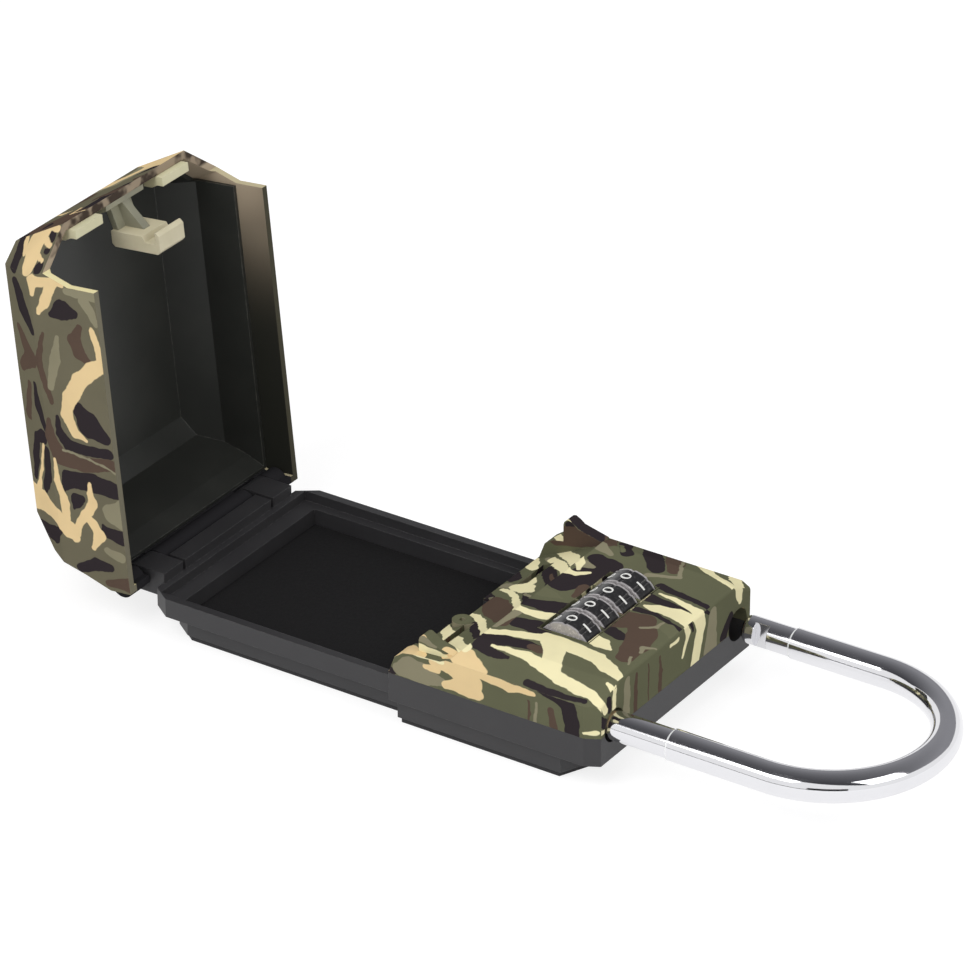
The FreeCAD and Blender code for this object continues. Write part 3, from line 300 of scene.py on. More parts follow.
# %% Strokes on the top of the cover
TOP = {
    "dark": [
        [(30, 19.5, 2.2), (34, 17, 4.2), (32, 9, 4.6), (30, 5, 3.6)],
        [(27.6, -7, 1.6), (32, -6.4, 2.4), (36.6, -5.4, 3.2)],
        [(30.8, -16.2, 2.2), (35, -15.8, 2.8), (38.4, -16.6, 2.0)],
        [(28.6, -26.4, 2.3), (33, -25, 2.3), (38, -24, 1.8), (41, -24, 1.4)],
        [(28, -28.4, 1.6), (32, -29.6, 1.3), (37, -29.8, 0.5)],
        [(45, -34, 0.9), (52, -34.3, 1.0), (61, -34, 0.5)],
        [(50, 16.6, 1.3), (56, 15.6, 1.1), (61, 14.9, 0.9), (66, 14, 0.8)],
        [(51, 10.4, 1.8), (57, 10.2, 1.1), (61.6, 10.2, 0.4)],
        [(51, 4.2, 1.2), (55, 4.6, 0.8), (60, 3.4, 0.7), (65, 1.4, 0.6)],
        [(51, -7.4, 1.8), (54.6, -8.6, 1.6), (57.4, -8.8, 0.6)],
        [(29.6, 34, 1.8), (32.4, 29, 1.4), (35, 25.6, 1.6)],
        [(36.4, 35, 2.2), (40.6, 28.6, 2.6), (45, 22.8, 2.0)],
        [(16, 19.8, 1.2), (19, 16, 1.7), (22, 11.8, 1.6), (25, 7, 1.2)],
        [(19.6, 4.2, 0.5), (22.4, 0.6, 1.0), (25, -3.4, 1.3)],
        [(6, 19, 2.2), (9.6, 15.6, 1.6)],
        [(6, 8, 1.4), (9.6, 5.2, 0.9)],
        [(15.4, -11.2, 0.8), (19, -16.4, 1.3), (23.6, -21.8, 1.2)],
        [(14.5, 31.6, 2.0), (24, 31.6, 2.0)],
    ],
    "brown": [
        [(10.6, 3, 2.2), (15, -1.6, 3.2), (19.6, -6.6, 3.2), (23.4, -12, 1.8)],
        [(43, 35, 2.4), (46.8, 28.4, 2.4), (48.8, 24.4, 1.6)],
        [(35, 6, 1.4), (35.6, 1.6, 1.0)],
        [(50, -2, 4.0), (55, 0, 3.4), (58.4, -5, 3.6), (60, -11, 3.4), (60.6, -16, 2.4)],
        [(27.8, -13, 1.3), (28.2, -18.6, 1.6)],
        [(40, -24, 1.2), (42.4, -24.2, 1.5)],
        [(26, 33, 1.6), (28.4, 28, 2.0)],
        [(20.4, 14.6, 0.4), (23.8, 9.6, 0.5)],
    ],
    "olive": [
        [(61.8, 0.6, 1.9), (64.6, -1.2, 1.8)],
        [(27.4, -1, 2.2), (31, -1.0, 1.2), (33.6, -1.2, 0.3)],
        [(30.4, 30.4, 0.5), (33.6, 26.2, 0.7)],
    ],
    "khaki": [
        [(59.7, 2.2, 0.4), (59.6, -0.6, 0.5), (56.4, -2.6, 0.5)],
        [(61.8, -15.4, 0.4), (62.8, -18.6, 0.3)],
        [(64.6, -9, 0.3), (61.8, -10.4, 0.7), (62.8, -12.2, 0.5)],
        [(44.6, 19.2, 1.0), (48, 20.6, 0.6), (51.6, 22.4, 0.6), (49.6, 26.6, 0.4), (45.2, 35, 0.4)],
        [(26, 28, 0.6), (28.6, 24.6, 1.6), (32, 22.8, 0.7)],
        [(28.6, 15.4, 1.9), (31.6, 15.6, 0.7)],
        [(28, -11.4, 1.6), (27.4, -20.6, 0.9)],
        [(8, 12.6, 1.2), (12.4, 10.8, 1.0)],
        [(20, 3.6, 0.5), (24, 0, 0.4)],
        [(11, 27.4, 0.6), (17, 22.2, 0.5), (22, 17.6, 0.5)],
    ],
    "cream": [
        [(11, 32.4, 1.0), (15.4, 28.6, 1.4), (20, 24.6, 1.6), (24.6, 19.6, 1.6), (28, 15.4, 1.1),
         (29.4, 12.8, 0.5)],
        [(13, 26.4, 0.9), (16, 23.4, 1.3), (20, 19.8, 1.4), (24.6, 14.4, 1.2), (27, 10.6, 1.3),
         (30, 10.6, 0.9), (32.6, 12.6, 0.5)],
        [(6.4, 27.4, 1.9), (9, 24.2, 1.7), (11.8, 20.8, 0.9)],
        [(12, 10.6, 1.1), (15.5, 9, 2.2), (19, 6.4, 1.9), (22, 4.2, 0.6)],
        [(16.2, 14, 0.5), (17.4, 10.4, 1.5)],
        [(9.2, 10, 0.5), (13, 7.4, 0.75), (17, 3.6, 0.75), (20.4, -0.6, 0.85), (24.4, -6.6, 0.9),
         (27, -10.6, 1.1), (30.4, -11, 1.1), (36, -10, 2.0)],
        [(9.6, -4.6, 0.6), (13.4, -7, 0.95), (17.6, -11.6, 0.9), (21, -16, 0.9), (24.6, -20.8, 0.9),
         (27.4, -23.9, 0.9), (31, -21.8, 1.2), (36, -20.4, 1.4), (40, -19.2, 1.8)],
        [(6, -9.4, 0.9), (8.6, -13, 1.4), (12.8, -18, 1.6), (17, -22.8, 2.2), (22, -27.6, 1.8),
         (26, -30.4, 1.2)],
        [(49, -13, 2.0), (52.6, -13.8, 2.0), (56, -15, 0.4)],
        [(40, -18, 1.4), (45, -18.8, 2.3), (50, -19.4, 2.2), (55, -19.9, 2.2), (60, -22.6, 2.0),
         (64.8, -25, 0.9)],
        [(42, -19.4, 2.4), (45.6, -23, 2.6), (47.2, -27, 2.4), (50, -29.6, 1.4)],
        [(31.4, -27.9, 0.4), (36, -27.8, 0.7), (41, -27.6, 1.3), (46, -28.9, 1.4), (52, -30.5, 1.5),
         (58, -31.4, 1.4), (65.4, -32.8, 1.0)],
        [(51.8, 13.5, 0.4), (56, 12.9, 0.7), (60, 12.1, 1.0), (64, 10.8, 1.5), (67, 8.6, 2.2)],
        [(51.6, 6.6, 0.4), (55, 7.0, 1.7), (60, 7.4, 2.2), (64, 6.6, 2.6), (67, 4.6, 2.2)],
        [(50.4, 36, 1.8), (54.5, 31.4, 1.5), (59, 28.0, 1.3), (66, 25.4, 0.9)],
        [(58.6, 36.4, 1.4), (62, 31.4, 1.7), (66, 27.4, 1.7)],
        [(63.2, -27.6, 0.5), (66, -28.8, 0.9)],
    ],
    "tan": [
        [(22, -32.2, 1.6), (27, -33, 2.6), (33, -35.6, 1.6)],
        [(9, -33, 3.2), (15, -35, 2.4)],
    ],
}
print("cover top strokes:", {name: len(paths) for name, paths in TOP.items()})

# %% Strokes on the near side and the end of the cover
SIDE = {
    "dark": [
        [(48.4, 22.9, 0.4), (53, 22.4, 1.0), (57, 21.4, 2.0), (58, 17.6, 2.2), (58.4, 13, 2.0)],
        [(7.4, 14.4, 1.2), (9, 15, 0.7)],
        [(27, 26, 0.7), (35, 25.4, 0.5)],
    ],
    "brown": [[(46.2, 19.2, 0.3), (46.6, 16, 0.4), (46, 13, 0.3)], [(52.4, 18.6, 0.9), (53.4, 13, 1.2)]],
    "khaki": [
        [(10, 16, 1.8), (13, 17.2, 3.0), (17, 16.6, 3.0), (22, 16.4, 1.2)],
        [(48.4, 19.2, 0.35), (48.0, 13, 0.5)],
        [(14.4, 24.8, 1.2), (18.6, 23.8, 0.7)],
    ],
    "tan": [
        [(19.6, 20.8, 1.0), (24, 21.2, 2.0), (28, 20.8, 3.8), (30.4, 18.2, 3.2)],
        [(23.2, 16, 1.0), (27, 16.8, 2.0), (32, 16.4, 1.8)],
        [(28, 22.6, 2.0), (35, 21.9, 1.4), (41, 20.9, 1.1), (47.6, 21.5, 0.6)],
        [(17.4, 18.9, 0.7), (21, 19.4, 1.0)],
    ],
    "cream": [
        [(61.4, 15.2, 0.4), (64, 15.6, 0.7)],
        [(63, 24, 0.5), (65.4, 21.6, 0.5)],
        [(14, 22.2, 1.0), (22, 21.8, 0.7)],
    ],
}
END = {
    "dark": [
        [(12.6, 26, 0.6), (14.6, 24.6, 0.4)],
        [(21, 15, 1.6), (24.4, 19.2, 1.2)],
        [(-33.4, 19, 1.2), (-31.4, 17, 1.2)],
        [(-30, 22.6, 1.1), (-29.8, 20, 0.8)],
        [(5.8, 26, 0.6), (7, 23.4, 0.4)],
    ],
    "brown": [
        [(-18.2, 24, 0.5), (-18.4, 19, 0.9), (-18.4, 12, 1.0)],
        [(-7.6, 23.6, 0.4), (-7.4, 19, 0.7), (-7.6, 12, 0.8)],
        [(-12.8, 24, 0.3), (-12.8, 14, 0.3)],
    ],
    "khaki": [[(-22, 24, 1.2), (-22.4, 14, 1.4)], [(16, 24, 1.6), (15, 14, 3.0)]],
    "cream": [
        [(9.4, 26.6, 2.4), (10.7, 23, 2.0), (9.5, 19.6, 1.9), (7.4, 12, 1.9)],
        [(3.6, 26.4, 0.9), (4.8, 23.6, 0.9), (3.4, 20.6, 0.7), (2.4, 18.4, 0.4)],
        [(27.4, 26.4, 1.7), (28, 23.6, 1.6), (28.4, 21.4, 0.9)],
        [(-3, 24.3, 0.5), (0.4, 24.2, 0.6)],
        [(-32.8, 23.2, 0.9), (-31.4, 20.6, 0.9)],
        [(-27.6, 25.8, 0.8), (-27.8, 20, 0.8)],
        [(-33, 15.6, 0.6), (-32, 15.4, 0.5)],
    ],
}
EAR = {"dark": [[(16, 26, 1.2), (20, 23, 1.4)]], "brown": [[(12, 22, 2.6), (24, 25, 2.6)]]}
print("cover side, end and far ear strokes:", [sum(map(len, face.values())) for face in (SIDE, END, EAR)])

# %% [markdown]
# ### The strokes on the lid
#
# The lid stands open, so its near wall has its own two directions: along the lid from the hinge,
# and outward from the hinge to the lid's front. The sloped facets beside that wall take the same print.

# %% Strokes on the near wall of the lid
WALL = {
    "dark": [
        [(71.8, 9.4, 0.8), (73.4, 6, 2.7), (73, 2.4, 1.2)],
        [(41, -2.6, 1.6), (44, 2, 3.6), (47.6, 4.6, 1.9)],
        [(37, -3, 1.5), (36.8, 4, 1.4), (37.2, 9, 1.7), (40, 11.4, 1.2), (44.4, 11.4, 0.5)],
        [(27.4, -4, 2.2), (28.4, 3, 2.6), (28, 10, 2.4), (25, 12.4, 0.8)],
        [(20.2, 9.6, 0.5), (22.6, 8.6, 1.9), (23.2, 7, 1.2)],
        [(22.6, 20, 1.2), (27, 17.6, 1.8), (34, 16.6, 1.4)],
        [(24, 24.6, 0.9), (30, 22.9, 1.6), (36, 21, 1.4), (37.4, 17.6, 1.8)],
        [(10.4, 24, 1.8), (11, 18, 2.2), (13.4, 14.8, 0.9)],
        [(4.2, 10, 1.2), (6, 5, 1.7), (5.8, 0.6, 1.0)],
        [(14.8, -4, 2.0), (15.6, 0.4, 1.6), (17.4, 1.4, 0.5)],
        [(80, 22.6, 1.5), (84, 23.6, 1.6)],
        [(40, 16, 1.0), (45, 18.4, 1.6), (51, 18.6, 0.8)],
        [(66, 16.6, 1.3), (71, 20, 2.4), (76, 22, 1.8)],
        [(82.2, 13.6, 0.9), (82.8, 12.4, 1.0)],
        [(85.4, 13.4, 0.5), (85.6, 12.2, 0.7)],
        [(88, 13.9, 0.7), (87.8, 12.6, 0.9)],
    ],
    "brown": [
        [(34, -4, 1.6), (33, 5, 2.0), (33.6, 12, 2.2), (38.6, 14.6, 1.7), (43, 14.2, 0.8)],
        [(54, 24, 1.4), (58, 19, 2.6), (64, 23.4, 1.2)],
        [(41, 24, 1.4), (50, 21.6, 1.0)],
        [(59.8, -1.4, 0.6), (63, 2.2, 1.8), (66, 3.4, 1.9), (69.6, 1.4, 1.0)],
        [(2.2, -5, 2.2), (1.6, 2, 0.8)],
        [(48, 12.6, 0.7), (58, 15.4, 1.3), (66, 12.8, 0.5)],
    ],
    "khaki": [
        [(18.4, -5, 1.6), (21, -1.6, 2.4), (24.4, -5, 1.0)],
        [(32, -5, 0.35), (34.6, 3, 0.3), (35.6, 11, 0.3)],
        [(78.6, -5, 1.4), (78.6, 4, 0.9)],
        [(71.8, -4, 1.0), (77, -1, 1.6)],
        [(9.4, -3, 1.4), (10.6, 1, 1.0)],
        [(52, 12.4, 0.9), (60, 10, 1.6), (66, 8.4, 0.6)],
    ],
    "tan": [
        [(18, 27.4, 3.8), (18.4, 21, 3.0), (17, 16, 2.1), (14, 11.8, 2.4), (12.2, 10.4, 1.4)],
        [(16, 12.6, 1.2), (21, 12.4, 1.4), (27, 13.9, 0.8), (32.8, 14, 0.4)],
        [(20, 24, 1.4), (24, 22.2, 0.7), (28, 20.6, 0.6), (35, 18.2, 0.5)],
        [(13.6, 9.8, 1.2), (17, 8.2, 1.0), (19, 6.4, 1.4), (22.5, 3.6, 1.4), (25, 4.3, 0.9),
         (27.8, 4.0, 0.5)],
        [(19, 6.2, 1.2), (17, 4.4, 1.3), (14.4, 2.9, 1.7), (10.4, 5, 0.7)],
        [(39.6, 3.4, 0.5), (41, 6.6, 1.3), (45.4, 8.5, 1.7), (50, 7.0, 2.0), (55, 3.4, 2.2),
         (58.6, -0.6, 2.0), (60.6, -4.6, 1.9)],
        [(60, -4.4, 1.6), (65, -3.6, 1.0), (69.6, -2.4, 0.9)],
        [(82.6, 17.2, 2.6), (85, 18.2, 2.9), (88.6, 15.6, 1.2)],
        [(83, 21, 0.6), (84.8, 22.4, 0.9)],
        [(76.2, 14.6, 0.6), (79.6, 14.2, 1.5), (79.8, 11.4, 1.3), (80.6, 8, 0.9), (80, 5, 0.6)],
        [(71.4, 13.3, 0.6), (74.4, 11.2, 1.4), (78, 9.2, 1.5), (80.6, 7, 0.9)],
        [(83.8, 12.6, 0.4), (84, 15, 0.5)],
        [(86.6, 12.2, 0.5), (86.8, 15, 0.6)],
        [(89.4, 12, 0.6), (89, 14.6, 0.6)],
    ],
}
print("lid wall strokes:", {name: len(paths) for name, paths in WALL.items()})

# %% [markdown]
# ### Patches from noise
#
# On faces without strokes, a patch is where a slow noise is high, and a branch is where another noise
# crosses its middle value. The directions are stretched, because the real print runs along the part.

# %% The camouflage finish
EDGE_SOFT = 0.12
WARP = 9.0
PATCHES = ((21.0, 3.0, 0.53), (18.0, 61.0, 0.55), (26.0, 137.0, 0.62))
PATCH_SCALE = 60
BRANCH_SIZE, BRANCH_SHIFT = 24.0, 211.0
BRANCH_HALF_WIDE = 0.022
BRANCH_SCALE = 120
RIPPLE = 1.3
print("noise patches of", [size for size, _, _ in PATCHES], "mm")


def layer(finish, base, tint, distance):
    """The tint over the base where the distance to its patches is below 0."""
    return finish.mix(distance.rise(EDGE_SOFT, -EDGE_SOFT), base, tint)


def random_print(finish, place):
    """Camouflage from noise alone, as (dark, brown, khaki, tan) distances in rough millimetres."""
    warp = finish.noise(WARP, place, 1.0, output="Color") - 0.5
    bent = place + warp * WARP
    patches = [finish.noise(size, bent + shift, 1.0, 0.4) for size, shift, _ in PATCHES]
    branch = (finish.noise(BRANCH_SIZE, bent + BRANCH_SHIFT, 0.6, 0.3) - 0.5).math("ABSOLUTE")
    dark, brown, khaki = ((limit - patch) * PATCH_SCALE for patch, (_, _, limit) in zip(patches, PATCHES))
    tan = (branch + (0.5 - patches[-1]) * 0.30 - BRANCH_HALF_WIDE) * BRANCH_SCALE
    return dark, brown, khaki, tan


def camouflage(name, ground, shaded_ground, stretch, faces, bare_faces):
    """The camouflage print. A face is (mask, flat place, strokes), and a bare face is (mask, colour)."""
    finish = Finish(name)
    place = finish.place.vector("MULTIPLY", stretch)
    dark, brown, khaki, tan = random_print(finish, place)
    print_on = finish.mix(finish.noise(40.0), ground, shaded_ground)
    for tint, distance in ((DARK, dark), (BROWN, brown), (KHAKI, khaki), (TAN, tan)):
        print_on = layer(finish, print_on, tint, distance)
    ripple = (finish.noise(3.6, output="Color") - 0.5) * RIPPLE
    tints = {"dark": DARK, "brown": BROWN, "olive": ground, "khaki": KHAKI, "tan": TAN, "cream": CREAM}
    for mask, flat, strokes in faces(finish):
        by_hand = finish.mix(finish.noise(30.0), ground, shaded_ground)
        for key, tint in tints.items():
            if key in strokes:
                by_hand = layer(finish, by_hand, tint, nearest_stroke(finish, flat + ripple, strokes[key]))
        print_on = finish.mix(mask, print_on, by_hand)
    worn = finish.edges(0.35) * finish.noise(1.6, detail=4.0).rise(0.42, 0.66)
    grime = finish.noise(12.0, detail=5.0).rise(0.35, 0.75)
    tone = finish.mix(grime * 0.10, print_on, colour(60, 56, 48))
    tone = finish.mix(worn * 0.30, tone, colour(176, 168, 136))
    for mask, bare in bare_faces(finish):
        tone = finish.mix(mask, tone, bare)
    grain = finish.noise(0.30, detail=3.0)
    return finish.finish(
        Base_Color=tone, Roughness=0.44 + grime * 0.12 - worn * 0.06 + grain * 0.06,
        Normal=finish.bump(grain, 0.22, 0.06, finish.rounded(0.25)), Specular_IOR_Level=0.0)


# %% [markdown]
# ### Which face is which
#
# The faces are told apart by their normal and by place, both in the piece's own directions, so that
# the print stays where it is when the lid turns. The cover's top, near side and end each have two flat
# directions, and the far ear has its own small set of strokes. Faces turned away from all of these
# keep the noise print. The lid is printed outside only: its inner faces and its hinge barrels are bare
# dark plastic, with a paler haze near its open end, partly overspray and partly painted light. Its
# rims and the edges of the two notches that fit over the cover's ears are paler, with painted light on
# the near side and painted shade on the far side.

# %% Faces of the cover and of the lid
def cover_faces(finish):
    """The cover's faces that have strokes."""
    normal = finish.normal()
    x, y, z = (finish.part(finish.place, axis) for axis in range(3))
    facing_x, facing_y, facing_z = (finish.part(normal, axis) for axis in range(3))
    above = facing_z.rise(0.30, 0.34)
    near = facing_y.rise(-0.70, -0.74)
    end = facing_x.rise(0.72, 0.76)
    ear = near * y.rise(20.0, 21.0)
    side = finish.joined(x, z)
    return [(above, finish.joined(x, y), TOP), (near, side, SIDE), (end, finish.joined(y, z), END),
            (ear, side, EAR)]


lid_joint = next(joint for joint in frame["joints"] if joint["name"] == "lid_hinge")
hinge = Vector(lid_joint["pos_m"]) / MM
lid_angle = radians(lid_joint["range_deg"][1])
along = Vector((cos(lid_angle), 0, sin(lid_angle)))
outward = Vector((-sin(lid_angle), 0, cos(lid_angle)))
lid_half_wide = span("lid_shell", 1)[1] / MM
lid_inside = hinge + along * 45 + outward * 5
print("lid hinge at", tuple(round(v, 1) for v in hinge), "opened by %.1f degrees" % (lid_angle * 180 / pi))


def lid_place(finish):
    """A point's distance along the lid from the hinge, and outward from it."""
    from_hinge = finish.place - tuple(hinge)
    return tuple(from_hinge.vector("DOT_PRODUCT", tuple(way), output="Value") for way in (along, outward))


def lid_faces(finish):
    """The lid's faces that have strokes."""
    run, depth = lid_place(finish)
    normal = finish.normal()
    near = finish.part(normal, 1).rise(-0.35, -0.42)
    return [(near, finish.joined(run, depth), WALL)]


# Where the paler haze inside the lid begins and where it is full: partly overspray, partly painted light.
HAZE_START, HAZE_FULL = 30.0, 92.0
NOTCH_END = 83.5
RIM_START = 85.0
BARREL_RADIUS, BARREL_INSET = 4.2, 2.8
BARE_PLASTIC = colour(44, 43, 45)


def lid_bare_faces(finish):
    """The lid's faces without print, each with its colour. A later one covers the ones before."""
    run, depth = lid_place(finish)
    normal = finish.normal()
    inward = (tuple(lid_inside) - finish.place) * normal
    inner = inward.vector("DOT_PRODUCT", (1.0, 1.0, 1.0), output="Value")
    # The inner faces turn paler towards the open end: partly overspray and partly painted light.
    reach = run.rise(HAZE_START, HAZE_FULL)
    overspray_and_painted_light = reach * reach * finish.noise(22.0, detail=1.0).rise(-0.3, 0.6)
    inside = finish.mix(overspray_and_painted_light, colour(46, 46, 41), colour(190, 172, 148))
    # Rims and notch edges are painted paler on the near side and darker on the far side: painted light and
    # shade.
    far = finish.part(finish.place, 1).rise(-5.0, 5.0)
    rim_lit_and_shaded = finish.mix(far, colour(124, 119, 102), colour(78, 75, 63))
    notch_lit_and_shaded = finish.mix(far, colour(232, 220, 170), colour(196, 184, 150))
    facing_out = normal.vector("DOT_PRODUCT", tuple(outward), output="Value")
    facing_along = normal.vector("DOT_PRODUCT", tuple(along), output="Value")
    rim = facing_out.rise(-0.6, -0.7) * depth.rise(0.0, -1.0)
    end_rim = facing_out.rise(-0.6, -0.7) * run.rise(RIM_START - 1.0, RIM_START) * depth.rise(4.0, 5.0)
    mottled = finish.noise(5.0, detail=2.0).rise(0.42, 0.58)
    end_rim_tone = finish.mix(mottled, colour(74, 64, 57), colour(160, 144, 124))
    notch = facing_along.rise(0.3, 0.4) * facing_out.rise(0.3, 0.2) * run.rise(NOTCH_END, NOTCH_END - 0.5)
    across = finish.part(finish.place, 1).math("ABSOLUTE")
    barrel_end = lid_half_wide - BARREL_INSET
    barrel = run.rise(6.0, 5.0) * depth.rise(BARREL_RADIUS + 0.4, BARREL_RADIUS)
    barrel = barrel * across.rise(barrel_end + 0.2, barrel_end)
    return [(inner.rise(-0.2, 0.2), inside), (rim, rim_lit_and_shaded), (end_rim, end_rim_tone), (notch, notch_lit_and_shaded),
            (barrel, BARE_PLASTIC)]


def no_bare_faces(finish):
    """None: the cover is printed all over."""
    return []


SHADED_OLIVE = colour(98, 99, 77)
LID_GROUND, SHADED_LID_GROUND = colour(116, 110, 92), colour(104, 100, 80)
COVER_STRETCH, LID_STRETCH = (0.8, 1.3, 1.3), (1.2, 1.2, 0.75)
cover_print = camouflage("camouflage_cover", OLIVE, SHADED_OLIVE, COVER_STRETCH, cover_faces, no_bare_faces)
lid_print = camouflage("camouflage_lid", LID_GROUND, SHADED_LID_GROUND, LID_STRETCH, lid_faces,
                       lid_bare_faces)
print("camouflage nodes:", len(cover_print.node_tree.nodes), len(lid_print.node_tree.nodes))


# %% [markdown]
# ## Moulded plastic and rubber
#
# A moulded part copies the fine spark-eroded grain of its mould. Its edges are handled most, so they
# turn smoother and paler. A noise bump gives the grain, and the edge mask gives the wear.

# %% Plastic finishes
def plastic(name, tone, worn_tone, size=0.35, depth=0.05, rough=0.5, wear=0.35, patchy=0.06):
    """Moulded plastic with a grain of a size and depth in millimetres, paler where it is worn."""
    finish = Finish(name)
    grain = finish.noise(size, detail=3.0, rough=0.6)
    clouds = finish.noise(14.0, detail=4.0)
    worn = finish.edges(0.3) * finish.noise(1.4, detail=4.0).rise(0.38, 0.64)
    shade = finish.mix(clouds.rise(0.3, 0.8) * patchy, tone, worn_tone)
    shade = finish.mix(worn * wear, shade, worn_tone)
    return finish.finish(
        Base_Color=shade, Roughness=rough + grain * 0.10 - worn * 0.12 + clouds * 0.05,
        Normal=finish.bump(grain, 0.3, depth, finish.rounded(0.22)))


black_shell = plastic("black_shell", colour(45, 44, 46), colour(104, 102, 100), rough=0.46)
back_rubber = plastic("back_rubber", colour(36, 35, 37), colour(74, 72, 70), 0.5, 0.12, rough=0.68)
# The lining's pale edges are partly wear and partly painted highlights along its top edges and creases.
lid_lining = plastic("lid_lining", colour(44, 45, 42), colour(110, 110, 100), 0.5, 0.03, rough=0.34, wear=0.6)
post_plastic = plastic("post_plastic", colour(204, 194, 162), colour(240, 232, 206), rough=0.42, patchy=0.6)
tab_plastic = plastic("tab_plastic", colour(218, 212, 174), colour(240, 234, 206), rough=0.40, patchy=0.4)
bracket_plastic = plastic("bracket_plastic", colour(132, 130, 112), colour(176, 172, 146), rough=0.42,
                          patchy=0.6)
print("plastics: shell, rubber pad, lining, post, tabs and bracket")

# %% [markdown]
# ### The tray floor
#
# A thin matt mat lies in the tray. Short fibres scatter the light, so it looks deeper black than the
# shell around it. Two noises, one stretched, stand for the fibres.

# %% The mat
def mat_finish():
    """The mat, with short fibres and a little lint."""
    finish = Finish("tray_mat")
    fibres = finish.noise(0.25, finish.place.vector("MULTIPLY", (1.0, 0.35, 1.0)), 4.0, 0.7)
    tufts = finish.noise(0.9, detail=3.0)
    lint = finish.noise(0.5, detail=5.0, rough=0.8).rise(0.66, 0.74)
    tone = finish.mix(fibres * 0.5 + lint * 0.3, colour(14, 13, 14), colour(40, 39, 40))
    return finish.finish(Base_Color=tone, Roughness=0.82 + tufts * 0.15, Specular_IOR_Level=0.25,
                         Normal=finish.bump(fibres + tufts, 0.6, 0.15))


tray_mat = mat_finish()
print("mat:", len(tray_mat.node_tree.nodes), "nodes")

# %% [markdown]
# ## Metal
#
# The shackle is polished and chromed: almost a mirror, with hairline scratches along the bar, and a
# white ring painted as a highlight where each leg steps down to its thinner end. The lock's inner
# metal is plain steel and brass, duller and brushed.

# %% Metal finishes
# The ring where each shackle leg steps is a painted highlight: white, with little metal in its finish.
HIGHLIGHT_RING_WIDE = 0.7
HIGHLIGHT_RING_TONE = colour(250, 250, 250)
SCRATCH_TONE = colour(236, 236, 234)
SMEARED = 0.72


def metal(name, tone, rough, scratch_size, stretch, depth, step=None):
    """Metal with scratches drawn out along one direction, and a white band painted as a highlight where X
    passes a step.
    """
    finish = Finish(name)
    lines = finish.noise(scratch_size, finish.place.vector("MULTIPLY", stretch), 3.0, 0.6)
    smears = finish.noise(6.0, detail=4.0)
    edge = finish.edges(0.2)
    smeared = tuple(part * SMEARED for part in tone[:3]) + (1.0,)
    shade = finish.mix(smears.rise(0.4, 0.8) * 0.06, tone, smeared)
    shade = finish.mix(edge * 0.2, shade, SCRATCH_TONE)
    metallic = 1.0
    if step:
        # Painted highlight: a white ring across the step.
        highlight_ring = (finish.part(finish.place, 0) - step).math("ABSOLUTE").rise(HIGHLIGHT_RING_WIDE / 2, HIGHLIGHT_RING_WIDE / 4)
        shade = finish.mix(highlight_ring, shade, HIGHLIGHT_RING_TONE)
        metallic = 1 - highlight_ring * 0.8
    roughness = rough + lines * rough * 0.5 + smears.rise(0.45, 0.75) * 0.05
    return finish.finish(Base_Color=shade, Metallic=metallic, Roughness=roughness,
                         Normal=finish.bump(lines, 0.12, depth, finish.rounded(0.15)))


shackle_top = span("shackle", 2)[1]
shackle_step = min(v.co.x for v in nodes["shackle"].data.vertices if v.co.z > shackle_top - 0.1 * MM) / MM
print("the shackle's leg steps to full thickness at X %.1f mm" % shackle_step)
ALONG_THE_LEGS, ALONG_THE_AXLE = (0.06, 1.0, 1.0), (1.0, 0.08, 1.0)
chrome = metal("chrome", colour(226, 226, 229), 0.05, 0.5, ALONG_THE_LEGS, 0.004, step=shackle_step)
steel = metal("steel", colour(176, 176, 178), 0.26, 0.25, ALONG_THE_AXLE, 0.02)
brass = metal("brass", colour(196, 164, 92), 0.28, 0.25, ALONG_THE_AXLE, 0.02)
print("metals: chrome, steel and brass")

# %% [markdown]
# ### Screw heads
#
# Four screws hold the case from behind, and two hold the lock's frame. Each head has a cross recess,
# sunk by a bump and painted dark as the shade that falls in it. The cross is two short strokes through
# the head's centre, so it needs no extra mesh.

# %% Screws with a cross recess
def solid_centres(node):
    """The middle of each separate solid in a node, in millimetres."""
    mesh = bmesh.new()
    mesh.from_mesh(nodes[node].data)
    left, centres = set(mesh.verts), []
    while left:
        group, edge = set(), [left.pop()]
        while edge:
            vertex = edge.pop()
            group.add(vertex)
            for link in vertex.link_edges:
                other = link.other_vert(vertex)
                if other in left:
                    left.discard(other)
                    edge.append(other)
        places = [vertex.co for vertex in group]
        centres.append(sum(places, Vector()) / len(places) / MM)
    mesh.free()
    return centres


def merged_centres(node, reach):
    """Centres of a node's screws. Pieces of one screw's mesh lie within the reach of each other."""
    groups = []
    for centre in solid_centres(node):
        for group in groups:
            if (group[0] - centre).xy.length < reach:
                group.append(centre)
                break
        else:
            groups.append([centre])
    return [sum(group, Vector()) / len(group) for group in groups]


SCREW_REACH = 3.0


def screw_finish(name, node, arm, wide):
    """Steel with a sunk cross on each of a node's screws, painted dark as its shade, from half its length and
    half its width.
    """
    finish = Finish(name)
    flat = finish.joined(finish.part(finish.place, 0), finish.part(finish.place, 1))
    bars = []
    for centre in merged_centres(node, SCREW_REACH):
        x, y = centre.x, centre.y
        bars += [[(x - arm, y, wide), (x + arm, y, wide)], [(x, y - arm, wide), (x, y + arm, wide)]]
    # The cross is painted dark as the shade inside the recess.
    recess_painted_shade = nearest_stroke(finish, flat, bars).rise(0.08, -0.08)
    lines = finish.noise(0.25, detail=3.0)
    tone = finish.mix(recess_painted_shade, colour(150, 150, 152), colour(30, 30, 31))
    return finish.finish(Base_Color=tone, Metallic=1.0, Roughness=0.30 + lines * 0.15,
                         Normal=finish.bump(1 - recess_painted_shade, 0.6, 0.5, finish.rounded(0.15)))


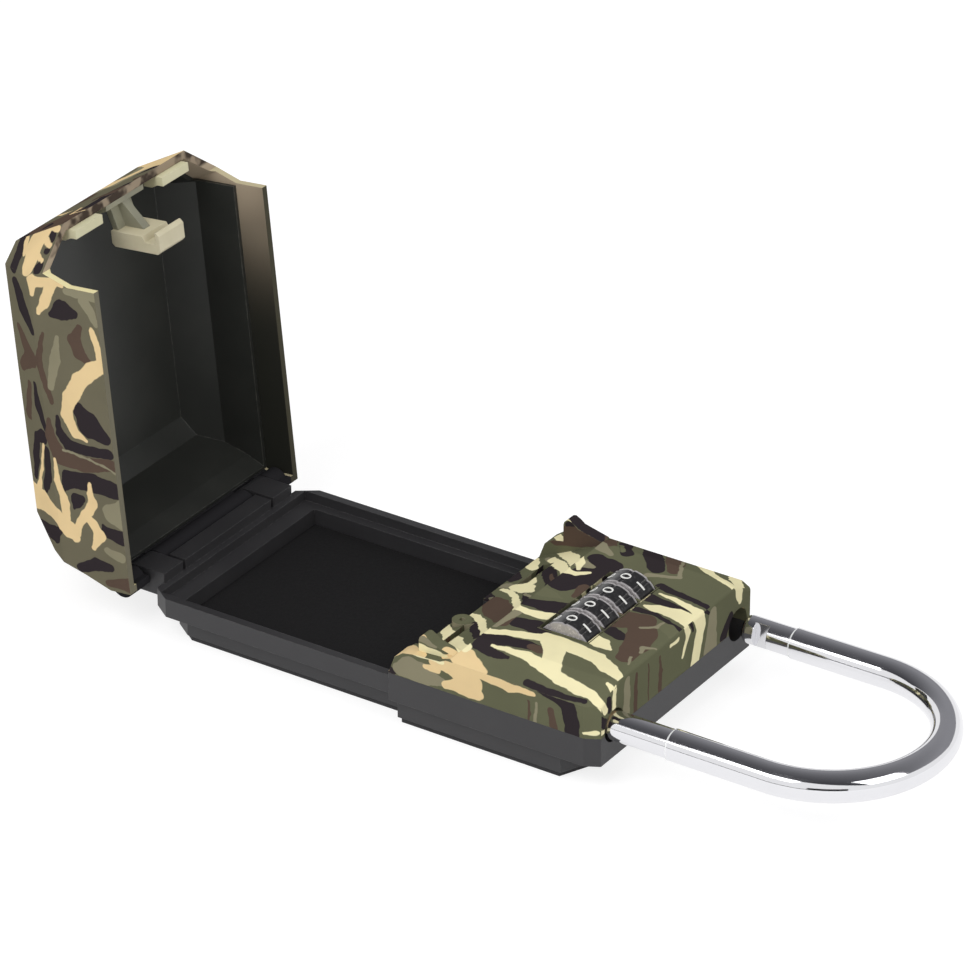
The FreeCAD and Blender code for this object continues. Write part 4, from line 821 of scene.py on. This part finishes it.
case_screw_steel = screw_finish("case_screw_steel", "case_screws", 1.0, 0.28)
frame_screw_steel = screw_finish("frame_screw_steel", "frame_screws", 0.8, 0.22)
for group in ("case_screws", "frame_screws"):
    print(group, len(merged_centres(group, SCREW_REACH)))

# %% [markdown]
# ## The code dials
#
# The dials are black plastic. Their rims are pale, partly a painted highlight and partly wear on the
# edges. Their digits are white paint in real mouldings. The digits start as text, become a mesh, and
# are wrapped round the dial: the height of a digit runs along the rim, with its top towards the
# shackle, so it reads as the box hangs.

# %% Dial plastic and digit paint
RIM_HIGHLIGHT_WIDE = 0.7


def dial_finish():
    """Black plastic whose rims are pale, partly a painted highlight and partly wear."""
    finish = Finish("dial_black")
    scuffs = finish.noise(0.7, detail=4.0, rough=0.7).rise(0.50, 0.66)
    y = finish.part(finish.place, 1)
    nearest = None
    for number in range(1, 5):
        from_middle = (y - middle("dial_%d" % number).y / MM).math("ABSOLUTE")
        nearest = nearest.low(from_middle) if nearest else from_middle
    half_wide = dial_half_wide / MM
    # The pale band at each rim is a painted highlight, and the edge mask joined next adds wear.
    worn = nearest.rise(half_wide - RIM_HIGHLIGHT_WIDE, half_wide - RIM_HIGHLIGHT_WIDE / 2) * (0.55 + scuffs * 0.4)
    worn = worn.high(finish.edges(0.28) * (0.35 + scuffs * 0.5))
    tone = finish.mix(worn, colour(28, 27, 28), colour(214, 208, 208))
    tone = finish.mix(scuffs * 0.10, tone, colour(150, 148, 146))
    return finish.finish(Base_Color=tone, Roughness=0.28 + scuffs * 0.2,
                         Normal=finish.bump(scuffs, 0.15, 0.03, finish.rounded(0.18)))


def paint_finish():
    """White paint with small chips."""
    finish = Finish("digit_paint")
    chips = finish.noise(0.35, detail=4.0).rise(0.60, 0.72)
    tone = finish.mix(chips * 0.35, colour(238, 237, 232), colour(150, 148, 144))
    return finish.finish(Base_Color=tone, Roughness=0.45 + chips * 0.2,
                         Normal=finish.bump(chips, 0.3, 0.03))


dial_black, digit_paint = dial_finish(), paint_finish()
# The width printed here is that of the painted rim highlight.
print("dial plastic:", len(dial_black.node_tree.nodes), "nodes, rims rubbed over", RIM_HIGHLIGHT_WIDE, "mm")

# %% Digits as meshes
DIGIT_TALL = 2.6 * MM
WIDENED = 1.55
DIGIT_PROUD = 0.05 * MM
SLICE = 0.25 * MM
DIGITS = 10


def flat_digit(digit):
    """A digit as a thin flat mesh, centred, cut into slices so that it can bend."""
    text = bpy.data.curves.new("digit", "FONT")
    text.body, text.size, text.extrude = str(digit), 1.0, 0.5
    text.align_x, text.align_y = "CENTER", "CENTER"
    text.resolution_u = 6
    holder = bpy.data.objects.new("digit", text)
    bpy.context.scene.collection.objects.link(holder)
    bpy.context.view_layer.update()
    shaped = holder.evaluated_get(bpy.context.evaluated_depsgraph_get())
    mesh = bmesh.new()
    mesh.from_mesh(shaped.to_mesh())
    shaped.to_mesh_clear()
    bpy.data.objects.remove(holder)
    bpy.data.curves.remove(text)
    xs, ys = [v.co.x for v in mesh.verts], [v.co.y for v in mesh.verts]
    centre_x, centre_y = (min(xs) + max(xs)) / 2, (min(ys) + max(ys)) / 2
    scale = DIGIT_TALL / (max(ys) - min(ys))
    for vertex in mesh.verts:
        vertex.co.x = (vertex.co.x - centre_x) * scale * WIDENED
        vertex.co.y = (vertex.co.y - centre_y) * scale
        vertex.co.z *= 2 * DIGIT_PROUD
    bmesh.ops.remove_doubles(mesh, verts=mesh.verts, dist=1e-7)
    level = -DIGIT_TALL / 2 + SLICE
    while level < DIGIT_TALL / 2:
        everything = mesh.verts[:] + mesh.edges[:] + mesh.faces[:]
        bmesh.ops.bisect_plane(mesh, geom=everything, plane_co=(0, level, 0), plane_no=(0, 1, 0), dist=1e-8)
        level += SLICE
    return mesh


flat_digits = [flat_digit(digit) for digit in range(DIGITS)]


def wrapped_digits(name, dial, body):
    """Ten digits round a dial, evenly spaced, as one mesh on the dial's body."""
    centre = middle(dial)
    whole = bmesh.new()
    for digit, flat in enumerate(flat_digits):
        new_of = {}
        for vertex in flat.verts:
            turn = 2 * pi / DIGITS * digit + vertex.co.y / dial_radius
            reach = dial_radius + vertex.co.z
            place = (centre.x + reach * sin(turn), centre.y - vertex.co.x, centre.z + reach * cos(turn))
            new_of[vertex] = whole.verts.new(place)
        for face in flat.faces:
            whole.faces.new([new_of[vertex] for vertex in face.verts])
    mesh = bpy.data.meshes.new(name)
    whole.to_mesh(mesh)
    whole.free()
    mesh.materials.append(digit_paint)
    piece = bpy.data.objects.new(name, mesh)
    bpy.context.scene.collection.objects.link(piece)
    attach(piece, body)
    return piece


for number in range(1, 5):
    wrapped_digits("dial_%d_digits" % number, "dial_%d" % number, "dial_%d_wheel" % number)
for flat in flat_digits:
    flat.free()
print("digits on the 4 dials are %.1f mm tall" % (DIGIT_TALL / MM))

# %% [markdown]
# ## Dress the CAD pieces
#
# Every CAD node gets one of the finishes, and the nodes not named here are plain steel. A finish goes
# into the object's material slots, so the mesh keeps its shape.

# %% Finishes of the CAD nodes
FINISH_OF = {
    "lock_cover": cover_print, "reset_button": cover_print, "lid_shell": lid_print,
    "back_shell": black_shell, "dial_bezel": cover_print, "long_leg_guide": black_shell,
    "short_leg_guide": black_shell, "back_pad": back_rubber, "floor_liner": tray_mat, "lid_liner": lid_lining,
    "latch_post": post_plastic, "latch_bracket": bracket_plastic, "lid_tab_near": tab_plastic,
    "lid_tab_far": tab_plastic, "shackle": chrome, "case_screws": case_screw_steel,
    "frame_screws": frame_screw_steel,
}
FINISH_OF.update({"dial_%d" % n: dial_black for n in range(1, 5)})
FINISH_OF.update({"code_sleeve_%d" % n: brass for n in range(1, 5)})


def dress(name, material):
    """Puts one material into every slot of a CAD node's object."""
    item = nodes[name]
    if not item.material_slots:
        item.data.materials.append(material)
    for slot in item.material_slots:
        slot.link = "OBJECT"
        slot.material = material


for name in nodes:
    dress(name, FINISH_OF.get(name, steel))
print("dressed", len(nodes), "nodes,", len(nodes) - len(FINISH_OF), "of them in plain steel")

# %% [markdown]
# ## Camera
#
# The camera stands where the photographer stood: a long lens, well back, above the near corner. Its
# place was found by matching edges of the CAD model to the picture.

# %% The camera
AIM = Vector((-38.36, 74.95, 0.0)) * MM
AROUND, ABOVE = radians(33.385), radians(28.753)
AWAY = 1427.99 * MM
FRAME_TALL = 971
FOCAL_PIXELS = 5605.62

SENSOR_WIDE = 36.0

back = Vector((sin(AROUND) * cos(ABOVE), -cos(AROUND) * cos(ABOVE), sin(ABOVE)))
lens = bpy.data.cameras.new("camera")
lens.sensor_width = SENSOR_WIDE
lens.lens = FOCAL_PIXELS / FRAME_TALL * lens.sensor_width
camera = bpy.data.objects.new("camera", lens)
camera.location = AIM + back * AWAY
camera.rotation_euler = back.to_track_quat("Z", "Y").to_euler()
bpy.context.scene.collection.objects.link(camera)
bpy.context.scene.camera = camera
print("lens %.1f mm" % lens.lens)

# %% [markdown]
# ## Floor, world and light
#
# The picture has a white ground with a faint shadow. The floor is a pale diffuse surface. To the
# camera and in reflections it is darker and glows, so that lit floor is white and shadow stays soft.
# The world is white to the camera and in reflections, and a plain soft light for everything else.

# %% The floor
REACH = 3.0
FLOOR_LEVEL = -0.02 * MM
HALF_TONE = colour(156, 155, 155)
GLOW = 0.79
WHITE = (1.0, 1.0, 1.0, 1.0)


def seen_directly(maker):
    """1 for the camera, and for reflections and clear materials, which show the ground as it does."""
    seen = maker.node("ShaderNodeLightPath", {}, {}, "Is Camera Ray")
    for name in ("Is Glossy Ray", "Is Transmission Ray"):
        seen = seen.high(maker.node("ShaderNodeLightPath", {}, {}, name))
    return seen


def floor_finish():
    """The floor, which glows where it is seen directly."""
    finish = Finish("floor")
    speckle = finish.noise(3.0, detail=3.0)
    tone = finish.mix(speckle * 0.04, colour(236, 236, 236), colour(226, 226, 228))
    plain = finish.node("ShaderNodeBsdfDiffuse", {}, {"Color": tone})
    half = finish.node("ShaderNodeBsdfDiffuse", {}, {"Color": HALF_TONE})
    glow = finish.node("ShaderNodeEmission", {}, {"Color": WHITE, "Strength": GLOW})
    bright = finish.node("ShaderNodeAddShader", {}, {0: half, 1: glow})
    finish.show(finish.node("ShaderNodeMixShader", {}, {0: seen_directly(finish), 1: plain, 2: bright}))
    return finish.material


def flat_stage(name, corners, material):
    """A flat piece of the studio, from corners in metres."""
    mesh = bpy.data.meshes.new(name)
    mesh.from_pydata(corners, [], [tuple(range(len(corners)))])
    mesh.materials.append(material)
    item = bpy.data.objects.new(name, mesh)
    bpy.context.scene.collection.objects.link(item)
    return item


floor_corners = [(x * REACH, y * REACH, FLOOR_LEVEL) for x, y in ((-1, -1), (1, -1), (1, 1), (-1, 1))]
flat_stage("floor", floor_corners, floor_finish())
print("floor of", 2 * REACH, "m")

# %% The world
SKY_TONE, SKY_LIGHT = (0.96, 0.98, 1.0, 1.0), 0.55

world = bpy.data.worlds.new("studio")
world.use_nodes = True
bpy.context.scene.world = world
sky = Tree(world.node_tree)
soft = sky.node("ShaderNodeBackground", {}, {"Color": SKY_TONE, "Strength": SKY_LIGHT})
white = sky.node("ShaderNodeBackground", {}, {"Color": WHITE, "Strength": 1.0})
either = sky.node("ShaderNodeMixShader", {}, {0: seen_directly(sky), 1: soft, 2: white})
sky.node("ShaderNodeOutputWorld", {}, {"Surface": either}, None)
print("world light", SKY_LIGHT)

# %% [markdown]
# ### Dark cards
#
# Chrome in an all-white tent looks like white plastic. A studio hangs dark cards round it, and their
# reflections draw its shape. A wide card overhead gives the grey band along the top of the bar. A low
# strip behind the camera gives the thin dark line, and a small card on the right ends it with a short
# dark patch. Only reflections see the cards.

# %% The cards
def card_finish(name, near_tone, far_tone, start, end):
    """A dull card that runs from one tone to another between two places along Y, in millimetres."""
    finish = Finish(name)
    y = finish.part(finish.place, 1)
    weave = finish.noise(30.0, detail=3.0)
    tone = finish.mix(y.rise(start, end) * 0.9 + weave * 0.1, near_tone, far_tone)
    finish.show(finish.node("ShaderNodeEmission", {}, {"Color": tone, "Strength": 1.0}))
    return finish.material


def card(name, corners, material):
    """A flat card that only reflections see."""
    item = flat_stage(name, corners, material)
    item.visible_camera = item.visible_diffuse = item.visible_transmission = item.visible_shadow = False
    return item


def upright(start, end, tall):
    """The corners of an upright card on the floor between two (x, y) places, in metres."""
    return [(*start, 0.0), (*end, 0.0), (*end, tall), (*start, tall)]


CEILING, CEILING_SIDE = 1.0, 2.2
CEILING_FRONT, CEILING_BACK = -0.95, 3.6
STRIP_SIDE, STRIP_FRONT, STRIP_TALL = 1.6, -1.5, 0.07
SIDE_START, SIDE_END, SIDE_TALL = (0.5, -1.45), (1.3, -1.1), 0.34

ceiling_tone = card_finish("ceiling_card", colour(62, 62, 66), colour(150, 150, 154), -900.0, 1600.0)
ceiling_corners = [(-CEILING_SIDE, CEILING_FRONT, CEILING), (CEILING_SIDE, CEILING_FRONT, CEILING),
                   (CEILING_SIDE, CEILING_BACK, CEILING), (-CEILING_SIDE, CEILING_BACK, CEILING)]
card("ceiling_card", ceiling_corners, ceiling_tone)
strip_tone = card_finish("strip_card", colour(40, 40, 42), colour(60, 60, 62), -2000.0, 0.0)
card("strip_card", upright((-STRIP_SIDE, STRIP_FRONT), (STRIP_SIDE, STRIP_FRONT), STRIP_TALL), strip_tone)
card("side_card", upright(SIDE_START, SIDE_END, SIDE_TALL), strip_tone)
print("ceiling card at %.1f m, strip %.2f m tall, side card %.2f m tall" % (CEILING, STRIP_TALL, SIDE_TALL))

# %% [markdown]
# ### Lamps
#
# Two large soft lamps: one high in front of the box, and a weaker one at the right. Large lamps give
# broad soft highlights and soft shadows, as a studio tent does.

# %% Lamps
def lamp(name, place, aim, size, power):
    """A square soft lamp at a place, turned to an aim, all in millimetres, with a power in watts."""
    light = bpy.data.lights.new(name, "AREA")
    light.shape, light.size, light.energy = "SQUARE", size * MM, power
    item = bpy.data.objects.new(name, light)
    item.location = Vector(place) * MM
    direction = Vector(place) - Vector(aim)
    item.rotation_euler = direction.to_track_quat("Z", "Y").to_euler()
    bpy.context.scene.collection.objects.link(item)
    return item


LAMP_AIM = (0, 0, 30)
lamp("key_lamp", (-150, -850, 1000), LAMP_AIM, 700, 7.0)
lamp("side_lamp", (900, -100, 700), LAMP_AIM, 600, 3.0)
print("two lamps aimed at", LAMP_AIM, "mm")

# %% [markdown]
# ## View transform
#
# The render's colours stay as written with the Standard view transform.

# %% Finish
bpy.context.scene.view_settings.view_transform = "Standard"
